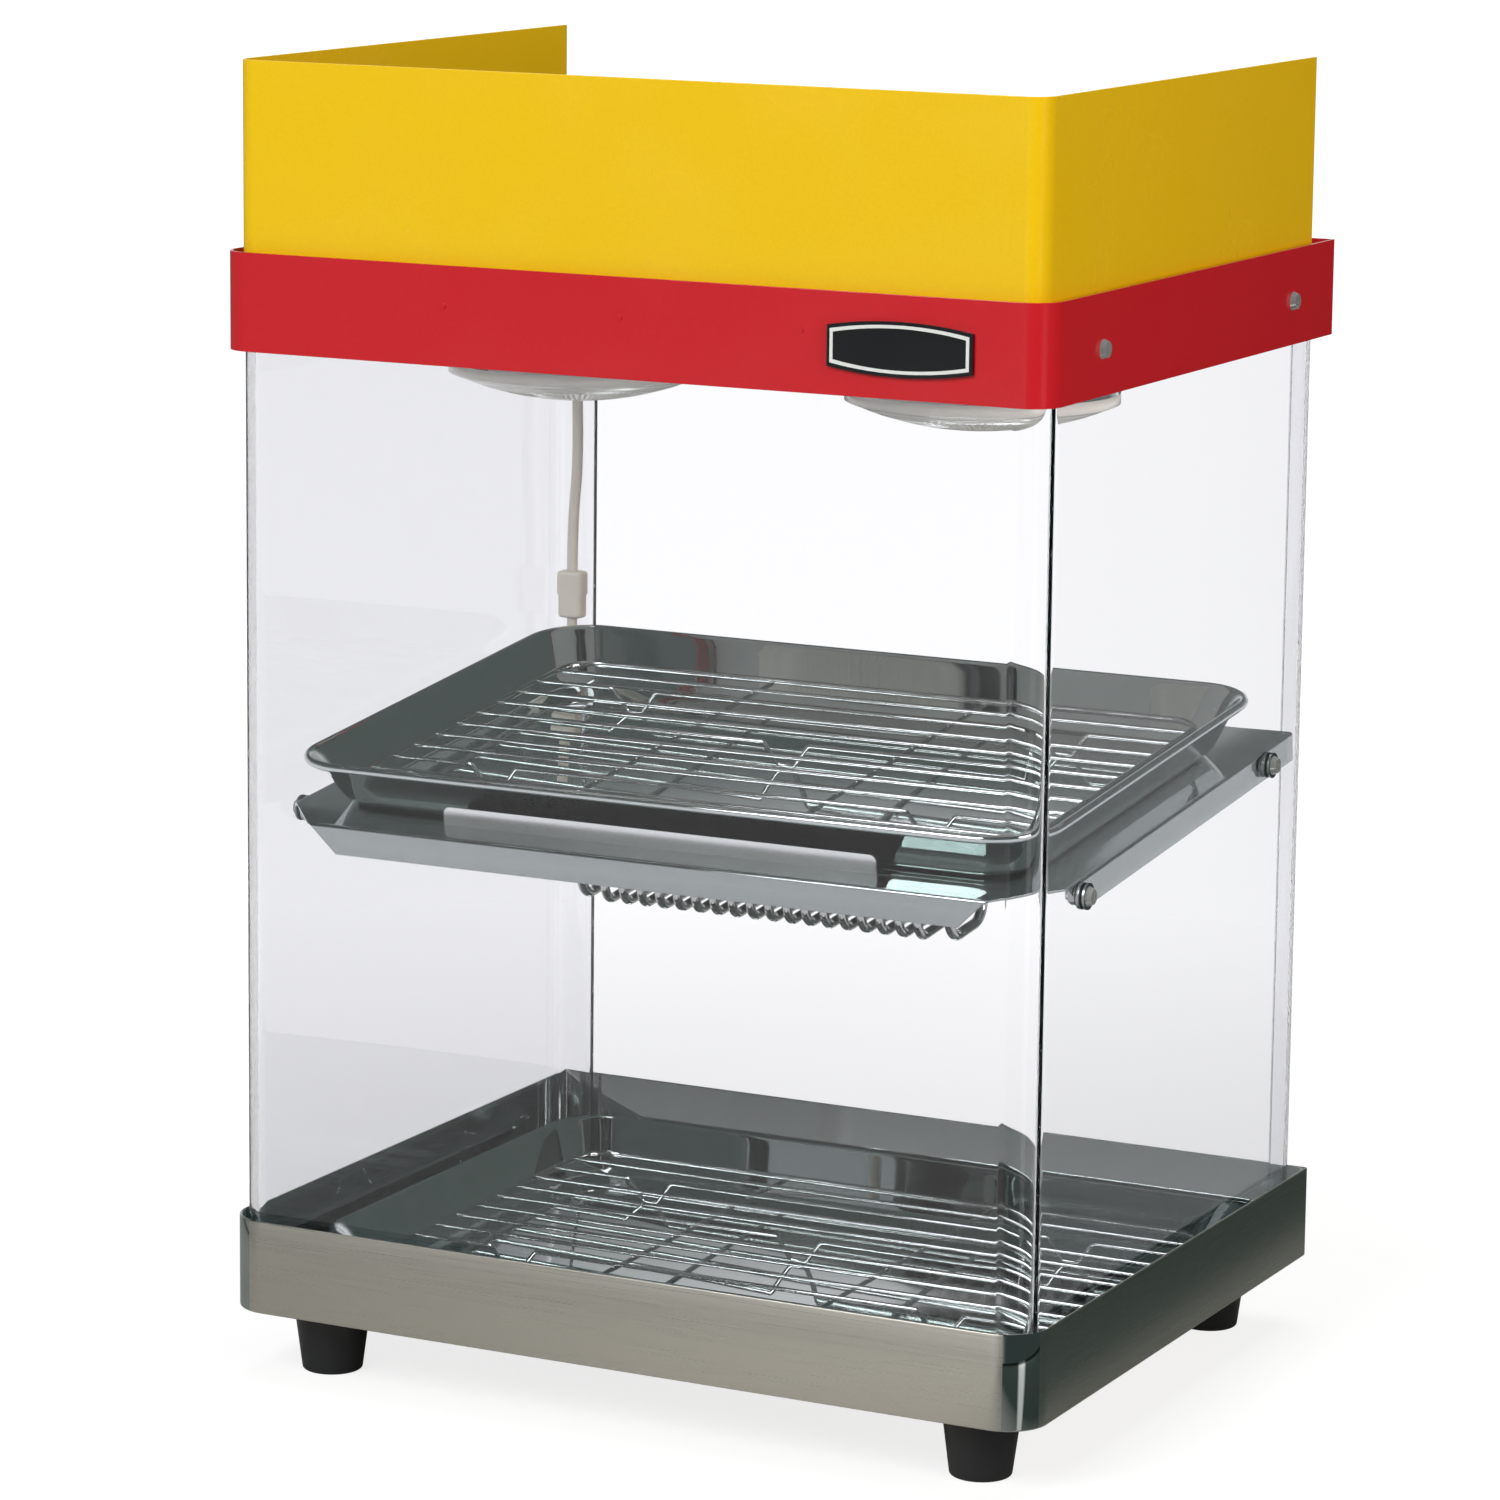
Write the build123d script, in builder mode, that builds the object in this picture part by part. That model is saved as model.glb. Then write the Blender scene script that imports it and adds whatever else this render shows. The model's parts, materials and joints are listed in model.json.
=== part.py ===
from build123d import *
import math
import os

os.makedirs("parts", exist_ok=True)

# Overall body, mm. Origin under the middle of the feet, front towards -Y.
case_width = 410.0
case_depth = 330.0
sheet = 1.2
fit = 0.3
foot_height = 32.0
base_height = 44.0
base_corner = 20.0

# Feet
foot_top_d = 36.0
foot_bottom_d = 28.0
foot_inset_x = 38.0
foot_front_inset = 35.0
foot_rear_inset = 30.0
foot_washer_t = 1.5
foot_screw_d = 5.0
foot_screw_head_d = 10.0
foot_screw_head_h = 3.2
foot_bore_d = 12.0
foot_bore_depth = 14.0
foot_fillet = 1.5

# Clear shell
glass_t = 4.5
glass_side_gap = 4.5
glass_front_gap = 5.0
glass_rear_gap = 4.0
glass_corner = 15.0
glass_return = 16.0
seal_wall = 1.8
seal_height = 11.0
seal_floor = 1.5
bolt_d = 5.0
bolt_tip = 2.0

# Top housing
band_bottom = 481.0
band_height = 45.0
band_corner = 14.0
ceiling_drop = 9.5
ceiling_flange = 20.0
band_screw_front_gap = 57.0
band_screw_rear_gap = 51.0
band_screw_rise = 20.5
dome_d = 9.0
dome_h = 2.4
slot_width = 1.1
slot_depth = 1.0
nut_across = 8.0
nut_h = 3.2
band_nut_h = 2.0

# Sign board
sign_top = 612.0
sign_t = 1.0
sign_side_gap = 5.75
sign_front_gap = 5.3
sign_rear_gap = 14.6
sign_corner = 10.0
sign_lift = 6.3
guide_length = 26.0
guide_wall = 1.6
guide_ear = 11.0
guide_xs = (-100.0, 0.0, 100.0)
guide_front_gap = 38.0
guide_rear_gap = 24.0

# Badge on the band, left bare
badge_width = 68.5
badge_height = 23.8
badge_end_height = 17.7
badge_side_gap = 69.3
badge_z = 502.7
badge_plate_t = 1.7
badge_rim_inset = 1.5
badge_rim_w = 1.4
badge_rim_t = 0.8
badge_groove = 0.5
rivet_badge_gap = 47.5
rivet_d = 2.4
rivet_rise = 0.6
rivet_z = 508.0

# Shelf, tilted towards the front
shelf_tilt = 5.82
shelf_z = 277.5
shelf_side_gap = 1.5
shelf_front_gap = 16.2
shelf_rear_gap = 13.0
shelf_chamfer_in = 23.5
shelf_chamfer_run = 28.2
shelf_lip = 14.0
shelf_bolt_drop = 6.8
shelf_bolt_front_gap = 39.8
shelf_bolt_rear_gap = 34.4
washer_d = 12.0
washer_t = 1.0
stop_width = 219.0
stop_height = 8.5
stop_corner = 3.5
stop_front_gap = 18.8
grommet_side_gap = 9.0
grommet_rear_gap = 10.0
grommet_d = 11.0

# Trays and racks
tray_side_gap = 5.5
tray_front_gap = 7.3
tray_rear_gap = 17.5
lower_tray_gap = 48.0
tray_height = 26.0
tray_corner = 30.0
tray_side_flare = 15.0
tray_front_flare = 20.0
tray_wall = 1.0
rim_w = 5.0
rim_h = 3.2
rack_side_gap = 21.0
rack_end_gap = 23.5
rack_rows = 12
rack_top = 13.0
rack_frame_d = 3.2
rack_wire_d = 2.2
rack_corner = 16.0
rack_leg_bend = 1.6
rack_cross_x = 57.0
leg_inset = 56.0
leg_half_top = 12.0
leg_half_foot = 4.0
leg_rows = (2, 9)
middle_leg_row = 6

# Heater under the shelf, placed in the shelf's own plane
heater_y = -4.0
cover_half = 106.0
cover_half_depth = 27.0
cover_drop = 50.0
cover_cut = 10.0
cover_tab = 12.0
tab_screw_x = 64.0
tab_screw_d = 3.0
tab_hole_d = 3.4
tab_head_d = 6.0
tab_head_h = 2.0
guard_d = 4.5
guard_pitch = 9.6
guard_count = 18
guard_half = 22.0
guard_bend = 8.0
guard_bottom = 63.5
guard_leg_top = 24.0
loop_d = 5.0
loop_x = 96.0
loop_half = 18.5
loop_bend = 10.0
rail_w = 10.0
rail_drop = 34.0
element_d = 8.5
element_half = 88.0
element_drop = 36.0
insulator_d = 15.0
insulator_l = 16.0
end_plate_x = 86.0
plate_skirt = 2.0
cutout_d = 16.0
cutout_h = 8.0
terminal_box = (30.0, 34.0, 22.0)
terminal_corner = 3.0

# Shelf lead and its connector
lead_d = 5.4
feed_bend = 8.0
feed_drop = 16.0
feed_start_inset = 4.0
feed_straight = 40.0
feed_turn = (10.0, 45.0)
grommet_rise = 2.5
lead_first_run = 38.0
lead_second_run = 84.0
lead_sag = (1.6, 1.0)
lead_last_run = 24.0
lead_top_side_gap = 16.5
bush_d = 12.0
bush_l = 10.0
bush_wall = 1.2
connector_w = 14.0
connector_t = 10.0
connector_top = 340.6
connector_bottom = 317.0
connector_corner = 2.5
connector_fillet = 1.8
plug_step = 1.0

# Lamps
lamp_side_gap = 62.0
lamp_y = -10.0
lamp_bottom = 449.2
lens_d = 122.0
lens_rise = 13.0
lens_rim = 5.0
lens_wall = 2.5
neck_d = 40.0
neck_z = 527.0
cap_d = 26.0
cap_top = 566.0
cap_tip = 5.0
neck_share = 0.78
socket_d = 42.0
socket_top = 576.0
socket_fillet = 4.0
bracket_z = 528.0
bracket_t = 1.5
bracket_side_gap = 9.0
bracket_depth = 56.0
bracket_hole_d = 30.0
lamp_hole_gap = 2.5

# Lamp hood behind the sign
hood_side_gap = 40.0
hood_front_gap = 40.0
hood_rear_gap = 30.0
hood_top = 580.0
hood_flange = 12.0
hood_corner = 8.0
vent_count = 9
vent_pitch = 18.0
vent_width = 4.0
vent_length = 70.0
vent_inset = 10.3

# Wiring under the hood
block_rear_gap = 60.0
block_size = (50.0, 22.0, 16.0)
block_holes = 4
block_hole_pitch = 12.0
block_hole_d = 5.0
wire_d = 3.0
wire_bend = 6.0
wire_out = 28.0
wire_top = 20.0
wire_low = 6.0
flange_screw_gap = 24.5
flange_screw_head_d = 7.0
flange_screw_head_h = 2.0

# Rear panel and switches
panel_gap = 0.5
panel_flange = 12.0
switch_side_gaps = (55.0, 81.0)
switch_z = 509.0
bezel_w = 15.0
bezel_h = 21.0
bezel_t = 2.0
bezel_wall = 1.4
switch_body_depth = 18.0
rocker_tilt = 10.0
rocker_depth = 7.0
inlet_side_gap = 60.0
inlet_z = 508.0
inlet_d = 17.0
inlet_bore = 8.0
inlet_neck_d = 13.0
inlet_neck_l = 8.0
inlet_flange = 3.0
rocker_rise = 0.8
rocker_side = 1.8

half_width = case_width / 2
half_depth = case_depth / 2
base_top = foot_height + base_height
floor_top = foot_height + sheet
band_top = band_bottom + band_height
ceiling_z = band_bottom + ceiling_drop
ceiling_top = ceiling_z + sheet
glass_half = half_width - glass_side_gap
glass_front = -half_depth + glass_front_gap
glass_rear = half_depth - glass_rear_gap
glass_bottom = floor_top + seal_floor + fit
glass_top = ceiling_z - fit
sign_half = half_width - sign_side_gap
sign_front = -half_depth + sign_front_gap
sign_rear = half_depth - sign_rear_gap
sign_bottom = ceiling_top + sign_lift
band_screw_ys = (-half_depth + band_screw_front_gap, half_depth - band_screw_rear_gap)
band_screw_z = band_bottom + band_screw_rise
foot_spots = [
    (side * (half_width - foot_inset_x), y)
    for side in (-1, 1)
    for y in (-half_depth + foot_front_inset, half_depth - foot_rear_inset)
]
foot_names = ("foot_front_left", "foot_rear_left", "foot_front_right", "foot_rear_right")
guide_front_y = band_screw_ys[0] + guide_front_gap
guide_rear_y = band_screw_ys[1] - guide_rear_gap
guide_ys = (guide_front_y, (guide_front_y + guide_rear_y) / 2, guide_rear_y)
badge_x = half_width - badge_side_gap
rivet_pitch = badge_x - rivet_badge_gap
shelf_half = glass_half - glass_t - shelf_side_gap
shelf_front = glass_front + shelf_front_gap
shelf_rear = glass_rear - shelf_rear_gap
shelf_front_half = shelf_half - shelf_chamfer_in
shelf_chamfer_end = shelf_front + shelf_chamfer_run
shelf_bolt_front = shelf_front + shelf_bolt_front_gap
shelf_bolt_rear = shelf_rear - shelf_bolt_rear_gap
stop_front = shelf_front + stop_front_gap
grommet_x = -shelf_half + grommet_side_gap
grommet_y = shelf_rear - grommet_rear_gap
tray_length = 2 * (shelf_half - tray_side_gap)
upper_tray_front = shelf_front + tray_front_gap
tray_width = shelf_rear - tray_rear_gap - upper_tray_front
lower_tray_front = -half_depth + lower_tray_gap
rack_half_length = tray_length / 2 - rack_side_gap
rack_depth = tray_width - 2 * rack_end_gap
leg_x = rack_half_length - leg_inset
lead_top_x = -glass_half + lead_top_side_gap
lead_top_y = grommet_y
hood_half = half_width - hood_side_gap
hood_front = -half_depth + hood_front_gap
hood_rear = half_depth - hood_rear_gap
lamp_x = hood_half - lamp_side_gap
bracket_half = hood_half - bracket_side_gap
block_y = hood_rear - block_rear_gap
switch_x = tuple(-half_width + gap for gap in switch_side_gaps)
inlet_x = half_width - inlet_side_gap
doorway_half = glass_half - glass_return
flange_screw_x = doorway_half - flange_screw_gap
tilt = math.radians(shelf_tilt)
shelf_plane = Plane(
    origin=(0, 0, shelf_z), x_dir=(1, 0, 0), z_dir=(0, -math.sin(tilt), math.cos(tilt))
)


def write(piece, name):
    piece.part.label = name
    export_step(piece.part, f"parts/{name}.step")


def add_box(low, high, mode=Mode.ADD):
    """Add or cut a block between two corners."""
    middle = [(a + b) / 2 for a, b in zip(low, high)]
    size = [b - a for a, b in zip(low, high)]
    with Locations(tuple(middle)):
        Box(*size, mode=mode)


def add_rod(start, end, diameter, mode=Mode.ADD):
    """Add or cut a straight round bar between two points."""
    start, end = Vector(start), Vector(end)
    along = end - start
    with BuildSketch(Plane(origin=start, z_dir=along)) as section:
        Circle(diameter / 2)
    extrude(section.sketch, amount=along.length, mode=mode)


def add_wire(points, bend, diameter):
    """Sweep a round wire along straight runs joined by bends."""
    with BuildLine() as path:
        FilletPolyline(*points, radius=bend)
    start = path.line @ 0
    with BuildSketch(Plane(origin=start, z_dir=path.line % 0)) as section:
        Circle(diameter / 2)
    sweep(section.sketch, path=path.line)


def on_shelf(x, y, z):
    """Turn a point given in the shelf's plane into the case's own frame."""
    return shelf_plane.from_local_coords(Vector(x, y, z))


def shelf_side(x):
    """A plane across X, with the shelf's own depth and height as its axes."""
    return Plane(origin=on_shelf(x, 0, 0), x_dir=shelf_plane.y_dir, z_dir=shelf_plane.x_dir)


def shelf_face(y):
    """A plane across the shelf's depth that looks towards the front."""
    return Plane(origin=on_shelf(0, y, 0), x_dir=shelf_plane.x_dir, z_dir=-shelf_plane.y_dir)


def footprint(half, front, rear, front_radius, rear_radius=0.0):
    """Outline seen from above, with rounded front corners and optional rounded rear ones."""
    with BuildSketch() as outline:
        with Locations((0, (front + rear) / 2)):
            Rectangle(2 * half, rear - front)
        corners = outline.vertices().group_by(Axis.Y)
        fillet(corners[0], front_radius)
        if rear_radius > 0:
            fillet(outline.vertices().group_by(Axis.Y)[-1], rear_radius)
    return outline.sketch


def lift_sketch(sketch, height):
    return sketch.moved(Location((0, 0, height)))


def add_slab(sketch, bottom, top, mode=Mode.ADD):
    """Extrude an outline between two heights."""
    extrude(lift_sketch(sketch, bottom), amount=top - bottom, mode=mode)


def add_domed_screw(head_point, outward, shank_length, slot_axis):
    """Slotted dome head standing on a wall, with its shank going inwards."""
    base = Plane(origin=head_point, x_dir=slot_axis, z_dir=outward)
    with BuildSketch(base) as head:
        Circle(dome_d / 2)
    extrude(head.sketch, amount=dome_h, taper=24)
    with BuildSketch(base.offset(dome_h)) as slot:
        Rectangle(dome_d, slot_width)
    extrude(slot.sketch, amount=-slot_depth, mode=Mode.SUBTRACT)
    with BuildSketch(base) as shank:
        Circle(bolt_d / 2)
    extrude(shank.sketch, amount=-shank_length)


def add_nut(point, outward, height=nut_h):
    """Hexagon nut with its inner face on a wall."""
    with BuildSketch(Plane(origin=point, z_dir=outward)) as hexagon:
        RegularPolygon(nut_across / 2, 6, major_radius=False)
        Circle((bolt_d + fit) / 2, mode=Mode.SUBTRACT)
    extrude(hexagon.sketch, amount=height)


# Base pan: folded sheet with a flat floor and four low walls
outer = footprint(half_width, -half_depth, half_depth, base_corner)
inner = footprint(
    half_width - sheet, -half_depth + sheet, half_depth - sheet, base_corner - sheet
)
with BuildPart() as base_pan:
    add_slab(outer, foot_height, base_top)
    add_slab(inner, floor_top, base_top, mode=Mode.SUBTRACT)
    fillet(base_pan.faces().sort_by(Axis.Z)[0].edges(), sheet * 0.8)
    for x, y in foot_spots:
        add_rod((x, y, foot_height - sheet), (x, y, floor_top + sheet), foot_screw_d + fit, Mode.SUBTRACT)
write(base_pan, "base_pan")

# Feet, tapered, with a bore from below for the screw
for name, (x, y) in zip(foot_names, foot_spots):
    with BuildPart() as foot:
        with BuildSketch(Plane(origin=(x, y, 0))) as sole:
            Circle(foot_bottom_d / 2)
        with BuildSketch(Plane(origin=(x, y, foot_height - foot_washer_t))) as head:
            Circle(foot_top_d / 2)
        loft([sole.sketch, head.sketch])
        fillet(foot.faces().sort_by(Axis.Z)[0].edges(), foot_fillet)
        add_rod((x, y, -1), (x, y, foot_bore_depth), foot_bore_d, Mode.SUBTRACT)
        add_rod((x, y, 0), (x, y, foot_height), foot_screw_d + fit, Mode.SUBTRACT)
    write(foot, name)

with BuildPart() as foot_washers:
    for x, y in foot_spots:
        with BuildSketch(Plane(origin=(x, y, foot_height - foot_washer_t))) as ring:
            Circle(foot_top_d / 2 + 1)
            Circle((foot_screw_d + fit) / 2, mode=Mode.SUBTRACT)
        extrude(ring.sketch, amount=foot_washer_t)
write(foot_washers, "foot_washers")

with BuildPart() as foot_screws:
    for x, y in foot_spots:
        head_z = foot_bore_depth - foot_screw_head_h
        add_rod((x, y, head_z), (x, y, foot_bore_depth), foot_screw_head_d)
        add_rod((x, y, head_z), (x, y, floor_top), foot_screw_d)
write(foot_screws, "foot_screws")

# Clear shell: front, two sides and two short rear returns in one bent sheet
glass_outer = footprint(glass_half, glass_front, glass_rear, glass_corner, glass_corner)
glass_inner = footprint(
    glass_half - glass_t,
    glass_front + glass_t,
    glass_rear - glass_t,
    glass_corner - glass_t,
    glass_corner - glass_t,
)
bolt_spots = [(y, -shelf_bolt_drop) for y in (shelf_bolt_front, shelf_bolt_rear)]
with BuildPart() as clear_shell:
    add_slab(glass_outer, glass_bottom, glass_top)
    add_slab(glass_inner, glass_bottom, glass_top, mode=Mode.SUBTRACT)
    add_box(
        (-doorway_half, glass_rear - 2 * glass_corner, glass_bottom - 1),
        (doorway_half, glass_rear + 1, glass_top + 1),
        Mode.SUBTRACT,
    )
    for y, z in bolt_spots:
        for side in (-1, 1):
            start = on_shelf(side * (glass_half - 2 * glass_t), y, z)
            end = on_shelf(side * (glass_half + glass_t), y, z)
            add_rod(start, end, bolt_d + fit, Mode.SUBTRACT)
write(clear_shell, "clear_shell")

# Channel that the clear shell stands in
seal_gap = seal_wall + fit
seal_outer = footprint(
    glass_half + seal_gap,
    glass_front - seal_gap,
    glass_rear + fit,
    glass_corner + seal_gap,
    glass_corner + fit,
)
seal_inner = footprint(
    glass_half - glass_t - seal_gap,
    glass_front + glass_t + seal_gap,
    glass_rear - glass_t - seal_gap,
    glass_corner - glass_t - seal_gap,
    glass_corner - glass_t - seal_gap,
)
groove_outer = footprint(
    glass_half + fit, glass_front - fit, glass_rear + 2 * fit, glass_corner + fit, glass_corner + fit
)
groove_inner = footprint(
    glass_half - glass_t - fit,
    glass_front + glass_t + fit,
    glass_rear - glass_t - fit,
    glass_corner - glass_t - fit,
    glass_corner - glass_t - fit,
)
with BuildPart() as shell_seal:
    add_slab(seal_outer, floor_top, floor_top + seal_height)
    add_slab(seal_inner, floor_top, floor_top + seal_height, mode=Mode.SUBTRACT)
    with BuildPart(mode=Mode.PRIVATE) as groove:
        add_slab(groove_outer, floor_top + seal_floor, base_top)
        add_slab(groove_inner, floor_top, base_top, mode=Mode.SUBTRACT)
    add(groove.part, mode=Mode.SUBTRACT)
    add_box(
        (-doorway_half + fit, glass_rear - 2 * glass_corner, foot_height),
        (doorway_half - fit, glass_rear + seal_height, base_top),
        Mode.SUBTRACT,
    )
write(shell_seal, "shell_seal")

# Shelf: polished plate with a front lip, two side flanges and a rear flange
with BuildPart() as shelf_plate:
    with BuildSketch(shelf_plane.offset(-sheet)) as outline:
        with BuildLine():
            Polyline(
                (-shelf_front_half, shelf_front),
                (shelf_front_half, shelf_front),
                (shelf_half, shelf_chamfer_end),
                (shelf_half, shelf_rear),
                (-shelf_half, shelf_rear),
                (-shelf_half, shelf_chamfer_end),
                close=True,
            )
        make_face()
    extrude(amount=sheet)
    with BuildSketch(shelf_face(shelf_front)) as lip:
        with BuildLine():
            Polyline(
                (-shelf_front_half, -sheet / 2),
                (shelf_front_half, -sheet / 2),
                (shelf_front_half - shelf_lip, -shelf_lip),
                (-shelf_front_half + shelf_lip, -shelf_lip),
                close=True,
            )
        make_face()
    extrude(amount=-sheet)
    for x in (-shelf_half, shelf_half - sheet):
        with BuildSketch(shelf_side(x)) as flange:
            with BuildLine():
                Polyline(
                    (shelf_chamfer_end, -sheet / 2),
                    (shelf_rear, -sheet / 2),
                    (shelf_rear, -shelf_lip),
                    (shelf_chamfer_end + shelf_lip, -shelf_lip),
                    (shelf_chamfer_end, -sheet),
                    close=True,
                )
            make_face()
        extrude(amount=sheet)
    with BuildSketch(shelf_face(shelf_rear)) as rear_flange:
        with Locations((0, -shelf_lip / 2)):
            Rectangle(2 * shelf_half - 4 * shelf_lip, shelf_lip)
    extrude(amount=sheet)
    for y, z in bolt_spots:
        for side in (-1, 1):
            start = on_shelf(side * (shelf_half - 2 * sheet), y, z)
            end = on_shelf(side * (shelf_half + sheet), y, z)
            add_rod(start, end, bolt_d + fit, Mode.SUBTRACT)
    start = on_shelf(grommet_x, grommet_y, -shelf_lip / 2)
    end = on_shelf(grommet_x, grommet_y, shelf_lip / 2)
    add_rod(start, end, grommet_d - 2 * sheet, Mode.SUBTRACT)
write(shelf_plate, "shelf_plate")

# Upright strip that the upper tray rests against
with BuildPart() as tray_stop:
    with BuildSketch(shelf_face(stop_front)) as strip:
        with Locations((0, stop_height / 2)):
            Rectangle(stop_width, stop_height)
        fillet(strip.vertices().group_by(Axis.Y)[-1], stop_corner)
    extrude(amount=-sheet)
write(tray_stop, "tray_stop")

# Bolts through the clear sides, with a washer outside, a spacer inside and a nut
with BuildPart() as shelf_bolts:
    for y, z in bolt_spots:
        for side in (-1, 1):
            seat = on_shelf(side * (glass_half + washer_t), y, z)
            reach = glass_half + washer_t - shelf_half + sheet + nut_h + bolt_tip
            add_domed_screw(seat, (side, 0, 0), reach, (0, 0, 1))
write(shelf_bolts, "shelf_bolts")

with BuildPart() as shelf_washers:
    for y, z in bolt_spots:
        for side in (-1, 1):
            for inside, thickness in (
                (glass_half, washer_t),
                (shelf_half, glass_half - glass_t - shelf_half),
            ):
                seat = on_shelf(side * inside, y, z)
                with BuildSketch(Plane(origin=seat, z_dir=(side, 0, 0))) as ring:
                    Circle(washer_d / 2)
                    Circle((bolt_d + fit) / 2, mode=Mode.SUBTRACT)
                extrude(ring.sketch, amount=thickness)
write(shelf_washers, "shelf_washers")

with BuildPart() as shelf_nuts:
    for y, z in bolt_spots:
        for side in (-1, 1):
            seat = on_shelf(side * (shelf_half - sheet), y, z)
            add_nut(seat, (-side, 0, 0))
write(shelf_nuts, "shelf_nuts")

# Heater reflector: folded sheet open below, with cut corners at both ends
cover_rear = heater_y + cover_half_depth
cover_front = heater_y - cover_half_depth
tab_holes = [(x, y) for x in (-tab_screw_x, tab_screw_x) for y in (cover_front, cover_rear)]
with BuildPart() as heater_cover:
    for y in (cover_front, cover_rear - sheet):
        with BuildSketch(shelf_face(y + sheet)) as wall:
            with BuildLine():
                Polyline(
                    (-cover_half, -sheet),
                    (cover_half, -sheet),
                    (cover_half, -cover_drop + cover_cut),
                    (cover_half - cover_cut, -cover_drop),
                    (-cover_half + cover_cut, -cover_drop),
                    (-cover_half, -cover_drop + cover_cut),
                    close=True,
                )
            make_face()
        extrude(amount=sheet)
    with BuildSketch(shelf_plane.offset(-2 * sheet)) as top:
        with Locations((0, heater_y)):
            Rectangle(2 * cover_half, 2 * cover_half_depth + 2 * cover_tab)
    extrude(amount=sheet)
    for x, y in tab_holes:
        away = -1 if y < heater_y else 1
        start = on_shelf(x, y + away * cover_tab / 2, -3 * sheet)
        end = on_shelf(x, y + away * cover_tab / 2, 0)
        add_rod(start, end, tab_hole_d, Mode.SUBTRACT)
write(heater_cover, "heater_cover")

# Plates across the reflector that carry the element's ceramic ends
with BuildPart() as heater_end_plates:
    for side in (-1, 1):
        with BuildSketch(shelf_side(side * end_plate_x)) as plate:
            with Locations((heater_y, -2 * sheet - (element_drop + plate_skirt) / 2)):
                Rectangle(2 * (cover_half_depth - sheet - fit), element_drop + plate_skirt)
            with Locations((heater_y, -element_drop)):
                Circle(insulator_d / 2 + fit, mode=Mode.SUBTRACT)
        extrude(amount=side * sheet)
write(heater_end_plates, "heater_end_plates")

with BuildPart() as heater_insulators:
    for side in (-1, 1):
        middle = side * (end_plate_x + sheet / 2)
        with BuildSketch(shelf_side(middle - side * insulator_l / 2)) as body:
            with Locations((heater_y, -element_drop)):
                Circle(insulator_d / 2)
                Circle(element_d / 2 + fit / 2, mode=Mode.SUBTRACT)
        extrude(amount=side * insulator_l)
write(heater_insulators, "heater_insulators")

with BuildPart() as heater_element:
    start = on_shelf(-element_half - insulator_l / 2, heater_y, -element_drop)
    end = on_shelf(element_half + insulator_l / 2, heater_y, -element_drop)
    add_rod(start, end, element_d)
write(heater_element, "heater_element")

# Guard: bent rods hung between two rails, with a larger loop at each end
guard_start = -guard_pitch * (guard_count - 1) / 2
guard_xs = [guard_start + guard_pitch * n for n in range(guard_count)]


def add_guard_rod(x, half, bend, diameter, top):
    points = [
        on_shelf(x, heater_y - half, -top),
        on_shelf(x, heater_y - half, -guard_bottom),
        on_shelf(x, heater_y + half, -guard_bottom),
        on_shelf(x, heater_y + half, -top),
    ]
    add_wire(points, bend, diameter)


with BuildPart() as guard_rods:
    for x in guard_xs:
        add_guard_rod(x, guard_half, guard_bend, guard_d, guard_leg_top)
    for side in (-1, 1):
        add_guard_rod(side * loop_x, loop_half, loop_bend, loop_d, 2 * sheet)
write(guard_rods, "guard_rods")

rail_seat = cover_half_depth - sheet
with BuildPart() as guard_rails:
    for side in (-1, 1):
        inner_face = guard_half + guard_d / 2
        with BuildSketch(shelf_side(-end_plate_x + sheet + fit)) as rail:
            with Locations((heater_y + side * (inner_face + rail_seat) / 2, -rail_drop)):
                Rectangle(rail_seat - inner_face, rail_w)
        extrude(amount=2 * (end_plate_x - sheet - fit))
write(guard_rails, "guard_rails")

with BuildPart() as heater_screws:
    for x, y in tab_holes:
        away = -1 if y < heater_y else 1
        spot = [x, y + away * cover_tab / 2]
        top = on_shelf(*spot, -sheet)
        bottom = on_shelf(*spot, -2 * sheet - tab_head_h)
        seat = on_shelf(*spot, -2 * sheet)
        add_rod(bottom, seat, tab_head_d)
        add_rod(bottom, top, tab_screw_d)
write(heater_screws, "heater_screws")

# Cover over the element's leads, on the underside of the shelf at the left
box_l, box_w, box_h = terminal_box
box_x = -cover_half - fit - box_l / 2
with BuildPart() as heater_terminal_cover:
    with BuildSketch(shelf_plane.offset(-sheet)) as outline:
        with Locations((box_x, heater_y)):
            RectangleRounded(box_l, box_w, terminal_corner)
    extrude(amount=-box_h)
    with BuildSketch(shelf_plane.offset(-sheet)) as hollow:
        with Locations((box_x, heater_y)):
            RectangleRounded(box_l - 2 * sheet, box_w - 2 * sheet, terminal_corner - sheet)
    extrude(amount=-box_h + sheet, mode=Mode.SUBTRACT)
    start = on_shelf(box_x, heater_y, -feed_drop)
    end = on_shelf(box_x, heater_y + box_w, -feed_drop)
    add_rod(start, end, lead_d + 2 * fit, Mode.SUBTRACT)
write(heater_terminal_cover, "heater_terminal_cover")

# Disc thermostat that cuts the heater off when the shelf gets too hot
with BuildPart() as overheat_cutout:
    with BuildSketch(shelf_plane.offset(-sheet)) as disc:
        with Locations((cover_half + cutout_d, heater_y)):
            Circle(cutout_d / 2)
    extrude(amount=-cutout_h)
write(overheat_cutout, "overheat_cutout")

# Fixed feed under the shelf, from the terminal cover to the grommet
feed_z = -feed_drop
feed_points = [
    on_shelf(box_x, heater_y + box_w / 2 - feed_start_inset, feed_z),
    on_shelf(box_x, heater_y + box_w / 2 + feed_straight, feed_z),
    on_shelf((box_x + grommet_x) / 2 - feed_turn[0], grommet_y - feed_turn[1], feed_z),
    on_shelf(grommet_x, grommet_y, feed_z),
    on_shelf(grommet_x, grommet_y, -sheet - 2),
]
with BuildPart() as heater_feed:
    add_wire(feed_points, feed_bend, lead_d)
write(heater_feed, "heater_feed")

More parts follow.
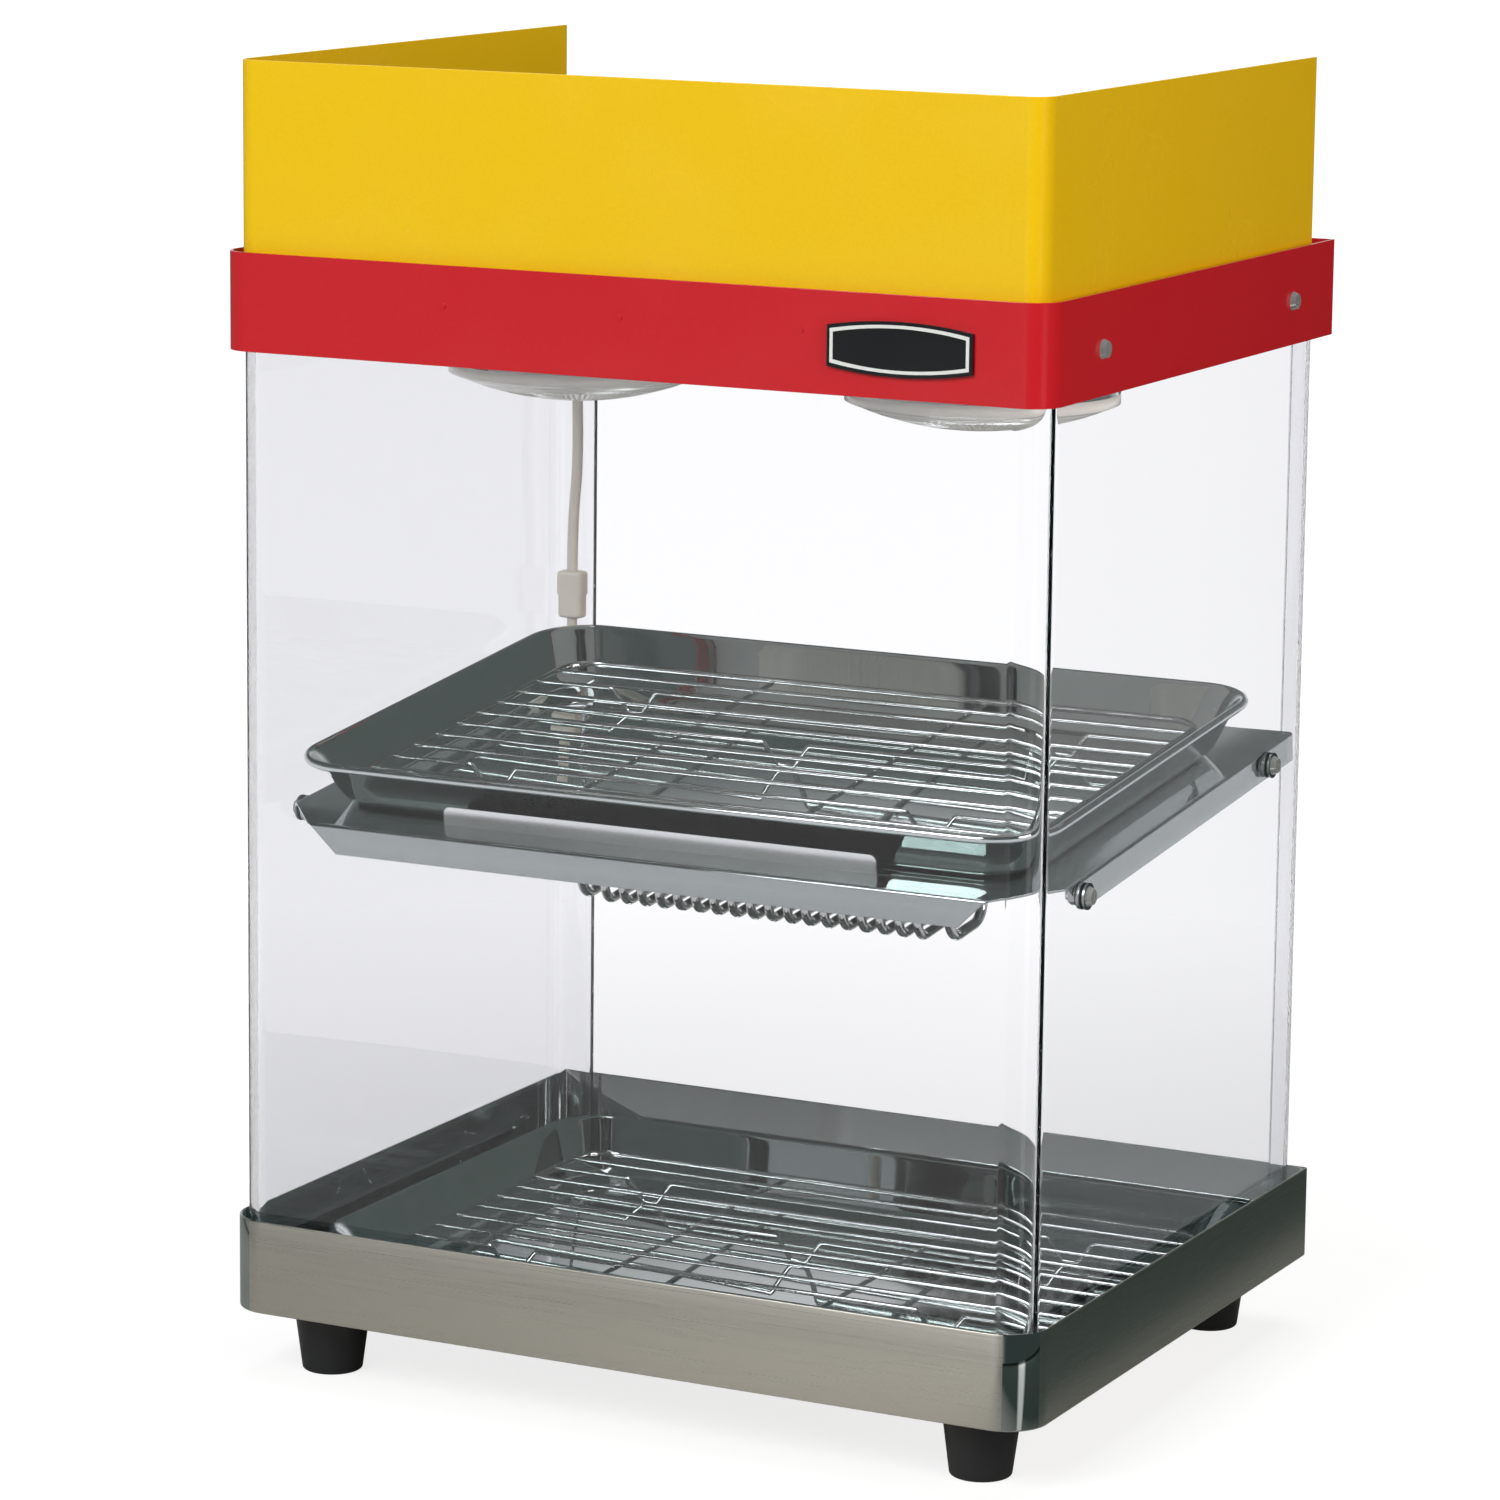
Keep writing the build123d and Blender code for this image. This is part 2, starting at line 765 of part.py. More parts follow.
with BuildPart() as shelf_grommet:
    start = on_shelf(grommet_x, grommet_y, -sheet - 2)
    end = on_shelf(grommet_x, grommet_y, grommet_rise)
    add_rod(start, end, grommet_d)
    add_rod(start, end, lead_d, Mode.SUBTRACT)
    with BuildSketch(shelf_plane.offset(-sheet)) as groove_ring:
        with Locations((grommet_x, grommet_y)):
            Circle(grommet_d)
            Circle(grommet_d / 2 - sheet - fit / 2, mode=Mode.SUBTRACT)
    extrude(amount=sheet, mode=Mode.SUBTRACT)
write(shelf_grommet, "shelf_grommet")

# Lead from the ceiling to the connector above the shelf, hanging almost straight
lead_top_z = ceiling_z - bush_l
grommet_top = on_shelf(grommet_x, grommet_y, grommet_rise)
tail_x, tail_y = grommet_top.X, grommet_top.Y
lead_points = [
    (lead_top_x, lead_top_y, lead_top_z),
    (lead_top_x, lead_top_y, lead_top_z - lead_first_run),
    (lead_top_x + lead_sag[0], lead_top_y - lead_sag[1], lead_top_z - lead_second_run),
    (tail_x, tail_y, connector_top + lead_last_run),
    (tail_x, tail_y, connector_top),
]


def route_radii(points):
    """Bend radius at each inner point of a cord's route: as large as its two runs allow."""
    radii = []
    for before, here, after in zip(points, points[1:], points[2:]):
        run_in = Vector(*here) - Vector(*before)
        run_out = Vector(*after) - Vector(*here)
        turn = math.radians(run_in.get_angle(run_out))
        radii.append(0.45 * min(run_in.length, run_out.length) / math.tan(turn / 2))
    return radii


def add_cord(points, diameter, name):
    """Round cord along straight runs joined by the largest arcs that fit."""
    radii = route_radii(points)
    with BuildLine() as path:
        FilletPolyline(*points, radius=radii)
    with BuildSketch(Plane(origin=path.line @ 0, z_dir=path.line % 0)) as section:
        Circle(diameter / 2)
    sweep(section.sketch, path=path.line)
    length = path.wire().length
    volume = section.sketch.area * length
    print(name, "radii", [round(r) for r in radii], "length", round(length, 1), "volume", round(volume))


with BuildPart() as shelf_lead:
    add_cord(lead_points, lead_d, "shelf_lead")
print("shelf_lead volume", round(shelf_lead.part.volume))
write(shelf_lead, "shelf_lead")

with BuildPart() as lead_tail:
    add_rod((tail_x, tail_y, grommet_top.Z - sheet), (tail_x, tail_y, connector_bottom), lead_d - fit)
write(lead_tail, "lead_tail")

connector_split = (connector_top + connector_bottom) / 2
with BuildPart() as lead_socket:
    with BuildSketch(Plane(origin=(tail_x, tail_y, connector_split))) as body:
        RectangleRounded(connector_w, connector_t, connector_corner)
    extrude(amount=connector_top - connector_split)
    fillet(lead_socket.faces().sort_by(Axis.Z)[-1].edges(), connector_fillet)
write(lead_socket, "lead_socket")

with BuildPart() as lead_plug:
    with BuildSketch(Plane(origin=(tail_x, tail_y, connector_bottom))) as body:
        RectangleRounded(connector_w - plug_step, connector_t - plug_step, connector_corner)
    extrude(amount=connector_split - connector_bottom)
    fillet(lead_plug.faces().sort_by(Axis.Z)[0].edges(), connector_fillet)
write(lead_plug, "lead_plug")

with BuildPart() as ceiling_bush:
    with BuildSketch(Plane(origin=(lead_top_x, lead_top_y, lead_top_z))) as nose:
        Circle(lead_d / 2 + bush_wall)
    with BuildSketch(Plane(origin=(lead_top_x, lead_top_y, ceiling_z))) as seat:
        Circle(bush_d / 2)
    loft([nose.sketch, seat.sketch])
write(ceiling_bush, "ceiling_bush")

# Top band: painted sheet round the front and both sides
band_outer = footprint(half_width, -half_depth, half_depth, band_corner)
band_inner = footprint(half_width - sheet, -half_depth + sheet, half_depth, band_corner - sheet)
band_screw_spots = [(side, y) for side in (-1, 1) for y in band_screw_ys]
with BuildPart() as top_band:
    add_slab(band_outer, band_bottom, band_top)
    add_slab(band_inner, band_bottom, band_top, mode=Mode.SUBTRACT)
    for side, y in band_screw_spots:
        start = (side * (half_width - 3 * sheet), y, band_screw_z)
        end = (side * (half_width + sheet), y, band_screw_z)
        add_rod(start, end, bolt_d + fit, Mode.SUBTRACT)
write(top_band, "top_band")

# Ceiling panel over the clear shell, turned up along the front and both sides
ceiling_half = half_width - sheet - fit
ceiling_front = -half_depth + sheet + fit
ceiling_rear = half_depth - sheet - panel_gap
ceiling_outer = footprint(ceiling_half, ceiling_front, ceiling_rear, band_corner - sheet)
ceiling_inner = footprint(
    ceiling_half - sheet, ceiling_front + sheet, ceiling_rear + 1, band_corner - 2 * sheet
)
lamp_spots = [(-lamp_x, lamp_y), (lamp_x, lamp_y)]
with BuildPart() as ceiling_panel:
    add_slab(ceiling_outer, ceiling_z, ceiling_z + ceiling_flange)
    add_slab(ceiling_inner, ceiling_top, ceiling_z + ceiling_flange, mode=Mode.SUBTRACT)
    for x, y in lamp_spots:
        add_rod((x, y, ceiling_z - 1), (x, y, ceiling_top + 1), lens_d + 2 * lamp_hole_gap, Mode.SUBTRACT)
    for side, y in band_screw_spots:
        start = (side * (ceiling_half - 3 * sheet), y, band_screw_z)
        end = (side * (ceiling_half + sheet), y, band_screw_z)
        add_rod(start, end, bolt_d + fit, Mode.SUBTRACT)
write(ceiling_panel, "ceiling_panel")

with BuildPart() as band_screws:
    for side, y in band_screw_spots:
        head_point = (side * half_width, y, band_screw_z)
        add_domed_screw(head_point, (side, 0, 0), 2 * sheet + fit + band_nut_h, (0, 0, 1))
write(band_screws, "band_screws")

with BuildPart() as band_nuts:
    for side, y in band_screw_spots:
        add_nut((side * (ceiling_half - sheet), y, band_screw_z), (-side, 0, 0), band_nut_h)
write(band_nuts, "band_nuts")

with BuildPart() as band_rivets:
    for n in (-1, 0, 1):
        add_rod(
            (n * rivet_pitch, -half_depth, rivet_z),
            (n * rivet_pitch, -half_depth - rivet_rise, rivet_z),
            rivet_d,
        )
write(band_rivets, "band_rivets")


def badge_outline(grow):
    """Long plate with straight ends and bowed long sides."""
    half = badge_width / 2 + grow
    tall = badge_height / 2 + grow
    end_tall = badge_end_height / 2 + grow
    badge_face = Plane(origin=(badge_x, -half_depth, badge_z), x_dir=(1, 0, 0), z_dir=(0, -1, 0))
    with BuildSketch(badge_face) as plate:
        with BuildLine():
            ThreePointArc((-half, end_tall), (0, tall), (half, end_tall))
            Line((half, end_tall), (half, -end_tall))
            ThreePointArc((half, -end_tall), (0, -tall), (-half, -end_tall))
            Line((-half, -end_tall), (-half, end_tall))
        make_face()
    return plate.sketch


def badge_line(inset, width):
    """Narrow frame that runs along the badge's edge."""
    return badge_outline(-inset) - badge_outline(-inset - width)


groove_floor = badge_plate_t - badge_groove
rim_frame = badge_line(badge_rim_inset, badge_rim_w)
with BuildPart() as badge_plate:
    extrude(badge_outline(0), amount=badge_plate_t)
    extrude(rim_frame.moved(Location((0, -groove_floor, 0))), amount=badge_groove, mode=Mode.SUBTRACT)
write(badge_plate, "badge_plate")

with BuildPart() as badge_rim:
    extrude(rim_frame.moved(Location((0, -groove_floor, 0))), amount=badge_rim_t)
write(badge_rim, "badge_rim")

# Sign board: bent sheet open at the rear, standing in guides inside the band
sign_outer = footprint(sign_half, sign_front, sign_rear, sign_corner)
sign_inner = footprint(sign_half - sign_t, sign_front + sign_t, sign_rear + 1, sign_corner - sign_t)
with BuildPart() as sign_panel:
    add_slab(sign_outer, sign_bottom, sign_top)
    add_slab(sign_inner, sign_bottom, sign_top, mode=Mode.SUBTRACT)
write(sign_panel, "sign_panel")

slot = sign_t + 2 * fit
guide_seat = sign_bottom - fit
side_guides = [(side, y) for side in (-1, 1) for y in guide_ys]
with BuildPart() as sign_guides:
    for x in guide_xs:
        low = (x - guide_length / 2, sign_front - fit - guide_wall, ceiling_top)
        high = (x + guide_length / 2, sign_front + sign_t + fit + guide_wall, guide_seat + guide_ear)
        add_box(low, high)
        add_box(
            (low[0] - 1, sign_front - fit, guide_seat),
            (high[0] + 1, sign_front - fit + slot, high[2] + 1),
            Mode.SUBTRACT,
        )
    for side, y in side_guides:
        outer_x = side * (sign_half + fit + guide_wall)
        inner_x = side * (sign_half - sign_t - fit - guide_wall)
        low = (min(outer_x, inner_x), y - guide_length / 2, ceiling_top)
        high = (max(outer_x, inner_x), y + guide_length / 2, guide_seat + guide_ear)
        add_box(low, high)
        cut_a = side * (sign_half + fit)
        cut_b = side * (sign_half - sign_t - fit)
        add_box(
            (min(cut_a, cut_b), low[1] - 1, guide_seat),
            (max(cut_a, cut_b), high[1] + 1, high[2] + 1),
            Mode.SUBTRACT,
        )
write(sign_guides, "sign_guides")

# Rear panel between the band's ends, with a flange that lies on the ceiling panel
panel_half = half_width - sheet - panel_gap
with BuildPart() as rear_panel:
    add_box((-panel_half, half_depth - sheet, band_bottom), (panel_half, half_depth, band_top))
    add_box(
        (-doorway_half, half_depth - sheet - panel_flange, ceiling_top),
        (doorway_half, half_depth - sheet / 2, ceiling_top + sheet),
    )
    for x in switch_x:
        add_box(
            (x - bezel_w / 2 + bezel_wall, half_depth - 3 * sheet, switch_z - bezel_h / 2 + bezel_wall),
            (x + bezel_w / 2 - bezel_wall, half_depth + 1, switch_z + bezel_h / 2 - bezel_wall),
            Mode.SUBTRACT,
        )
    neck_start = (inlet_x, half_depth - 3 * sheet, inlet_z)
    add_rod(neck_start, (inlet_x, half_depth + 1, inlet_z), inlet_neck_d, Mode.SUBTRACT)
write(rear_panel, "rear_panel")

# Two rocker switches
opening_w = bezel_w - 2 * bezel_wall - fit
opening_h = bezel_h - 2 * bezel_wall - fit
with BuildPart() as switch_housings:
    for x in switch_x:
        add_box(
            (x - bezel_w / 2, half_depth, switch_z - bezel_h / 2),
            (x + bezel_w / 2, half_depth + bezel_t, switch_z + bezel_h / 2),
        )
        add_box(
            (x - opening_w / 2, half_depth - switch_body_depth, switch_z - opening_h / 2),
            (x + opening_w / 2, half_depth + bezel_t / 2, switch_z + opening_h / 2),
        )
        add_box(
            (x - opening_w / 2 + 1, half_depth - rocker_depth, switch_z - opening_h / 2 + 1),
            (x + opening_w / 2 - 1, half_depth + bezel_t + 1, switch_z + opening_h / 2 - 1),
            Mode.SUBTRACT,
        )
write(switch_housings, "switch_housings")

rocker_half = opening_h / 2 - 1 - fit
rocker_front = rocker_rise
swing = math.tan(math.radians(rocker_tilt))
for x, name in zip(switch_x, ("lamp_rocker", "heater_rocker")):
    with BuildPart() as rocker:
        left = x - opening_w / 2 + 1 + fit
        pivot = Plane(origin=(left, half_depth, switch_z), x_dir=(0, 1, 0), z_dir=(1, 0, 0))
        with BuildSketch(pivot) as side_view:
            with BuildLine():
                Polyline(
                    (rocker_front, rocker_half - 0.6),
                    (rocker_front - rocker_half * swing * 0.9, 0),
                    (rocker_front + rocker_half * swing * 0.6, -rocker_half + 1.0),
                    (-rocker_depth * 0.45, -rocker_half + rocker_side),
                    (-rocker_depth * 0.6, 0),
                    (-rocker_depth * 0.45, rocker_half - rocker_side),
                    close=True,
                )
            make_face()
        extrude(amount=opening_w - 2 - 2 * fit)
    write(rocker, name)

# Inlet bush for the mains cord
with BuildPart() as cord_inlet:
    add_rod(
        (inlet_x, half_depth - inlet_neck_l, inlet_z), (inlet_x, half_depth, inlet_z), inlet_neck_d - fit
    )
    add_rod((inlet_x, half_depth, inlet_z), (inlet_x, half_depth + bezel_t, inlet_z), inlet_d)
    add_rod(
        (inlet_x, half_depth - inlet_neck_l - 1, inlet_z),
        (inlet_x, half_depth + inlet_flange, inlet_z),
        inlet_bore,
        Mode.SUBTRACT,
    )
write(cord_inlet, "cord_inlet")

# Lamps: domed lens, reflector shell, screw cap, ceramic socket
seam_z = lamp_bottom + lens_rise
dome_radius = ((lens_d / 2) ** 2 + lens_rise**2) / (2 * lens_rise)


def dome_z(r, wall=0.0):
    """Height of the lens surface, or of its inner face, at a distance from the lamp's axis."""
    return lamp_bottom + dome_radius - math.sqrt((dome_radius - wall) ** 2 - r**2)


for x, word in ((-lamp_x, "left"), (lamp_x, "right")):
    with BuildPart() as lens:
        with BuildSketch(Plane(origin=(x, lamp_y, 0), x_dir=(1, 0, 0), z_dir=(0, -1, 0))) as half_section:
            with BuildLine():
                inner_r = lens_d / 2 - lens_wall
                dome = ThreePointArc(
                    (0, dome_z(0)),
                    (lens_d / 4, dome_z(lens_d / 4)),
                    (lens_d / 2, dome_z(lens_d / 2)),
                )
                Polyline(
                    dome @ 1,
                    (lens_d / 2, seam_z + lens_rim),
                    (inner_r, seam_z + lens_rim),
                    (inner_r, dome_z(inner_r, lens_wall)),
                )
                ThreePointArc(
                    (inner_r, dome_z(inner_r, lens_wall)),
                    (lens_d / 4, dome_z(lens_d / 4, lens_wall)),
                    (0, dome_z(0, lens_wall)),
                )
                Line((0, dome_z(0, lens_wall)), (0, dome_z(0)))
            make_face()
        revolve(axis=Axis((x, lamp_y, 0), (0, 0, 1)))
    write(lens, f"lamp_lens_{word}")
    with BuildPart() as reflector:
        with BuildSketch(Plane(origin=(x, lamp_y, 0), x_dir=(1, 0, 0), z_dir=(0, -1, 0))) as half_section:
            with BuildLine():
                foot_r = lens_d / 2
                foot_z = seam_z + lens_rim
                bulge = ThreePointArc(
                    (foot_r, foot_z),
                    (foot_r * neck_share, foot_z + (neck_z - foot_z) * 0.52),
                    (neck_d / 2, neck_z),
                )
                Line(bulge @ 1, (neck_d / 2 - lens_wall, neck_z))
                hollow = ThreePointArc(
                    (neck_d / 2 - lens_wall, neck_z),
                    (foot_r * neck_share - lens_wall, foot_z + (neck_z - foot_z) * 0.5),
                    (foot_r - lens_wall, foot_z),
                )
                Line(hollow @ 1, bulge @ 0)
            make_face()
        revolve(axis=Axis((x, lamp_y, 0), (0, 0, 1)))
    write(reflector, f"lamp_reflector_{word}")
    with BuildPart() as socket:
        add_rod((x, lamp_y, bracket_z + bracket_t), (x, lamp_y, socket_top), socket_d)
        add_rod((x, lamp_y, bracket_z), (x, lamp_y, cap_top + fit), cap_d + 2 * fit, Mode.SUBTRACT)
        fillet(socket.faces().sort_by(Axis.Z)[-1].edges(), socket_fillet)
    write(socket, f"lamp_socket_{word}")

with BuildPart() as lamp_caps:
    for x, y in lamp_spots:
        add_rod((x, y, neck_z), (x, y, cap_top - cap_tip), cap_d)
        with BuildSketch(Plane(origin=(x, y, cap_top - cap_tip))) as wide:
            Circle(cap_d / 2)
        with BuildSketch(Plane(origin=(x, y, cap_top))) as narrow:
            Circle(cap_d / 4)
        loft([wide.sketch, narrow.sketch])
write(lamp_caps, "lamp_caps")

# Bracket that carries both sockets, with a leg at each end
with BuildPart() as socket_bracket:
    add_box(
        (-bracket_half, lamp_y - bracket_depth / 2, bracket_z),
        (bracket_half, lamp_y + bracket_depth / 2, bracket_z + bracket_t),
    )
    for side in (-1, 1):
        leg = sorted((side * bracket_half, side * (bracket_half - bracket_t)))
        add_box(
            (leg[0], lamp_y - bracket_depth / 2, ceiling_top),
            (leg[1], lamp_y + bracket_depth / 2, bracket_z + bracket_t),
        )
    middle_leg = bracket_depth / 4
    add_box(
        (-middle_leg, lamp_y - bracket_t / 2, ceiling_top),
        (middle_leg, lamp_y + bracket_t / 2, bracket_z + bracket_t),
    )
    for x, y in lamp_spots:
        add_rod((x, y, bracket_z - 1), (x, y, bracket_z + bracket_t + 1), bracket_hole_d, Mode.SUBTRACT)
write(socket_bracket, "socket_bracket")

# Terminal block and the leads to both sockets
with BuildPart() as terminal_block:
    block_l, block_w, block_h = block_size
    add_box(
        (-block_l / 2, block_y - block_w / 2, ceiling_top),
        (block_l / 2, block_y + block_w / 2, ceiling_top + block_h),
    )
    for n in range(block_holes):
        x = (n - (block_holes - 1) / 2) * block_hole_pitch
        seat = (x, block_y, ceiling_top + block_h / 2)
        add_rod(seat, (x, block_y, ceiling_top + block_h + 1), block_hole_d, Mode.SUBTRACT)
write(terminal_block, "terminal_block")

with BuildPart() as lamp_wiring:
    for side in (-1, 1):
        socket_face = lamp_y + socket_d / 2
        points = [
            (side * lamp_x, socket_face, bracket_z + wire_top),
            (side * lamp_x, socket_face + wire_out, bracket_z + wire_top),
            (side * lamp_x, socket_face + wire_out, ceiling_top + wire_low),
            (side * lamp_x, block_y, ceiling_top + wire_low),
            (side * block_size[0] / 2, block_y, ceiling_top + wire_low),
        ]
        add_wire(points, wire_bend, wire_d)
write(lamp_wiring, "lamp_wiring")

# Hood over the sockets, open below, with louvre slots in its top
hood_outer = footprint(hood_half, hood_front, hood_rear, hood_corner, hood_corner)
hood_inner = footprint(
    hood_half - sheet, hood_front + sheet, hood_rear - sheet, hood_corner - sheet, hood_corner - sheet
)
hood_foot = footprint(
    hood_half + hood_flange, hood_front - hood_flange, hood_rear + hood_flange, hood_corner
)
with BuildPart() as lamp_hood:
    add_slab(hood_outer, ceiling_top, hood_top)
    add_slab(hood_foot, ceiling_top, ceiling_top + sheet)
    add_slab(hood_inner, ceiling_top - 1, hood_top - sheet, mode=Mode.SUBTRACT)
    for side in (-1, 1):
        for n in range(vent_count):
            x = (n - (vent_count - 1) / 2) * vent_pitch + side * (lamp_x - vent_inset)
            low = (x - vent_width / 2, lamp_y - vent_length / 2, hood_top - 2 * sheet)
            high = (x + vent_width / 2, lamp_y + vent_length / 2, hood_top + 1)
            add_box(low, high, Mode.SUBTRACT)
write(lamp_hood, "lamp_hood")

housing_screw_spots = [
    (side * (hood_half + hood_flange / 2), y) for side in (-1, 1) for y in (hood_front, hood_rear)
]
flange_screw_y = half_depth - sheet - panel_flange / 2
flange_screw_spots = [(x, flange_screw_y) for x in (-flange_screw_x, 0, flange_screw_x)]
with BuildPart() as housing_screws:
    for x, y in housing_screw_spots + flange_screw_spots:
        seat = ceiling_top + sheet
        add_rod((x, y, seat), (x, y, seat + flange_screw_head_h), flange_screw_head_d)
write(housing_screws, "housing_screws")


# Trays: pressed dish with flared walls and a rolled rim
def tray_outline(shrink_x, shrink_y, radius):
    with BuildSketch() as outline:
        RectangleRounded(tray_length - 2 * shrink_x, tray_width - 2 * shrink_y, radius)
    return outline.sketch


def build_tray(plane):
    """One tray with its underside on the plane."""
    def level(sketch, height):
        return plane.location * Location((0, 0, height)) * sketch

    bottom_radius = tray_corner - tray_side_flare / 2
    with BuildPart() as tray:
        loft([
            level(tray_outline(tray_side_flare, tray_front_flare, bottom_radius), 0),
            level(tray_outline(rim_w / 2, rim_w / 2, tray_corner - rim_w / 2), tray_height),
        ])
        loft(
            [
                level(
                    tray_outline(
                        tray_side_flare + tray_wall,
                        tray_front_flare + tray_wall,
                        bottom_radius - tray_wall,
                    ),
                    tray_wall,
                ),
                level(
                    tray_outline(
                        rim_w / 2 + tray_wall,
                        rim_w / 2 + tray_wall,
                        tray_corner - rim_w / 2 - tray_wall,
                    ),
                    tray_height,
                ),
            ],
            mode=Mode.SUBTRACT,
        )
        with BuildSketch(plane.offset(tray_height - rim_h)) as ring:
            RectangleRounded(tray_length, tray_width, tray_corner)
            RectangleRounded(
                tray_length - 2 * rim_w, tray_width - 2 * rim_w, tray_corner - rim_w, mode=Mode.SUBTRACT
            )
        extrude(ring.sketch, amount=rim_h)
    return tray


def build_rack(plane):
    """Wire rack standing on the plane, with legs pressed down from three of its wires."""
    pitch = rack_depth / (rack_rows - 1)
    wire_z = rack_top - rack_wire_d / 2
    foot_z = fit + rack_wire_d / 2
    edge = rack_half_length - rack_frame_d / 2

    def place(x, y, z):
        return plane.from_local_coords(Vector(x, y, z))

    with BuildPart() as rack:
        frame_y = rack_depth / 2
        frame_z = rack_top - rack_frame_d / 2
        with BuildSketch(plane.offset(frame_z)) as loop:
            RectangleRounded(2 * edge, rack_depth, rack_corner)
        path = loop.sketch.face().outer_wire()
        start = path @ 0
        with BuildSketch(Plane(origin=start, z_dir=path % 0)) as section:
            Circle(rack_frame_d / 2)
        sweep(section.sketch, path=path)
        for row in range(1, rack_rows - 1):
            y = -frame_y + row * pitch
            legs = []
            if row in leg_rows:
                legs = [-leg_x, leg_x]
            if row == middle_leg_row:
                legs = [0.0]
            points = [place(-edge, y, wire_z)]
            for x in legs:
                points += [
                    place(x - leg_half_top, y, wire_z),
                    place(x - leg_half_foot, y, foot_z),
                    place(x + leg_half_foot, y, foot_z),
                    place(x + leg_half_top, y, wire_z),
                ]
            points.append(place(edge, y, wire_z))
            if legs:
                add_wire(points, rack_leg_bend, rack_wire_d)
            else:
                add_rod(points[0], points[-1], rack_wire_d)
        for x in (-rack_cross_x, rack_cross_x):
            z = wire_z - rack_wire_d * 0.8
            add_rod(place(x, -frame_y, z), place(x, frame_y, z), rack_wire_d)
    return rack


upper_tray_plane = Plane(
    origin=on_shelf(0, upper_tray_front + tray_width / 2, fit),
    x_dir=shelf_plane.x_dir,
    z_dir=shelf_plane.z_dir,
)
lower_tray_plane = Plane(origin=(0, lower_tray_front + tray_width / 2, floor_top + fit))
for word, tray_plane in (("upper", upper_tray_plane), ("lower", lower_tray_plane)):
    write(build_tray(tray_plane), f"{word}_tray")
    write(build_rack(tray_plane.offset(tray_wall)), f"{word}_rack")
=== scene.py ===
import json
import math

import bmesh
import bpy
from mathutils import Matrix, Vector


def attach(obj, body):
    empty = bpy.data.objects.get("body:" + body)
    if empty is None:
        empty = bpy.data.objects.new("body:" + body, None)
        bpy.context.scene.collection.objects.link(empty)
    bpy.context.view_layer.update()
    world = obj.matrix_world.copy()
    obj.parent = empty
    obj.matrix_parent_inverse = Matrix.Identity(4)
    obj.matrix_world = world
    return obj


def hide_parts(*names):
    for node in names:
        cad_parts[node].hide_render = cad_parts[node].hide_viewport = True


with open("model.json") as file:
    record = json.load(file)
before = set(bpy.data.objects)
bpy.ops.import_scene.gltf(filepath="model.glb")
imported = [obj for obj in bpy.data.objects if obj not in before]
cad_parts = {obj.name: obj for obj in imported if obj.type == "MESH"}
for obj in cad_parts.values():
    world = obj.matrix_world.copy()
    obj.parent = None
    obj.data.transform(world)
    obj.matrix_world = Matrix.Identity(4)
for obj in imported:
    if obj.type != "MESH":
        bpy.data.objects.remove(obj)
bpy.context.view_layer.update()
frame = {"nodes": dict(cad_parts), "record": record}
mm = 0.001
print("frame loaded")

# Camera: the photograph's view, with a small vertical shift of the lens
photoCamera = {
    "focalPixels": 5692.8,  # focal length in pixels of the photograph
    "framePixels": 1500.0,
    "yaw": 26.67,
    "pitch": 10.029,
    "roll": 0.637,
    "place": (1160.47, -2344.53, 787.24),  # mm
    "shiftY": -0.05,
}


def makeCamera(spec):
    yaw, pitch, roll = (math.radians(spec[k]) for k in ("yaw", "pitch", "roll"))
    ahead = Vector((-math.sin(yaw) * math.cos(pitch), math.cos(yaw) * math.cos(pitch), -math.sin(pitch)))
    right = Vector((math.cos(yaw), math.sin(yaw), 0))
    up = right.cross(ahead)
    rightRolled = right * math.cos(roll) + up * math.sin(roll)
    upRolled = up * math.cos(roll) - right * math.sin(roll)
    data = bpy.data.cameras.new("photoCamera")
    data.sensor_width = 36.0
    data.sensor_fit = "HORIZONTAL"
    data.lens = spec["focalPixels"] * data.sensor_width / spec["framePixels"]
    data.shift_y = spec["shiftY"]
    data.clip_end = 50
    camera = bpy.data.objects.new("photoCamera", data)
    turn = Matrix((rightRolled, upRolled, -ahead)).transposed().to_4x4()
    camera.matrix_world = Matrix.Translation(Vector(spec["place"]) * mm) @ turn
    bpy.context.collection.objects.link(camera)
    bpy.context.scene.camera = camera


makeCamera(photoCamera)
bpy.context.scene.view_settings.view_transform = "Standard"
print("camera placed")


# Node helpers: each takes numbers or sockets
def addNode(tree, kind, inputs=None, **settings):
    node = tree.nodes.new(kind)
    for key, value in settings.items():
        setattr(node, key, value)
    for key, value in (inputs or {}).items():
        if isinstance(value, bpy.types.NodeSocket):
            tree.links.new(value, node.inputs[key])
        else:
            node.inputs[key].default_value = value
    return node


def ramp(tree, value, low, high, toLow=0.0, toHigh=1.0, **settings):
    inputs = {"Value": value, "From Min": low, "From Max": high, "To Min": toLow, "To Max": toHigh}
    return addNode(tree, "ShaderNodeMapRange", inputs, **settings).outputs[0]


def calc(tree, operation, first, second):
    return addNode(tree, "ShaderNodeMath", {0: first, 1: second}, operation=operation).outputs[0]


def calcVector(tree, operation, first, second):
    return addNode(tree, "ShaderNodeVectorMath", {0: first, 1: second}, operation=operation).outputs


def mixColours(tree, factor, first, second, **settings):
    inputs = {0: factor, 6: first, 7: second}
    return addNode(tree, "ShaderNodeMix", inputs, data_type="RGBA", **settings).outputs[2]


def mixShaders(tree, factor, first, second):
    return addNode(tree, "ShaderNodeMixShader", {0: factor, 1: first, 2: second}).outputs[0]


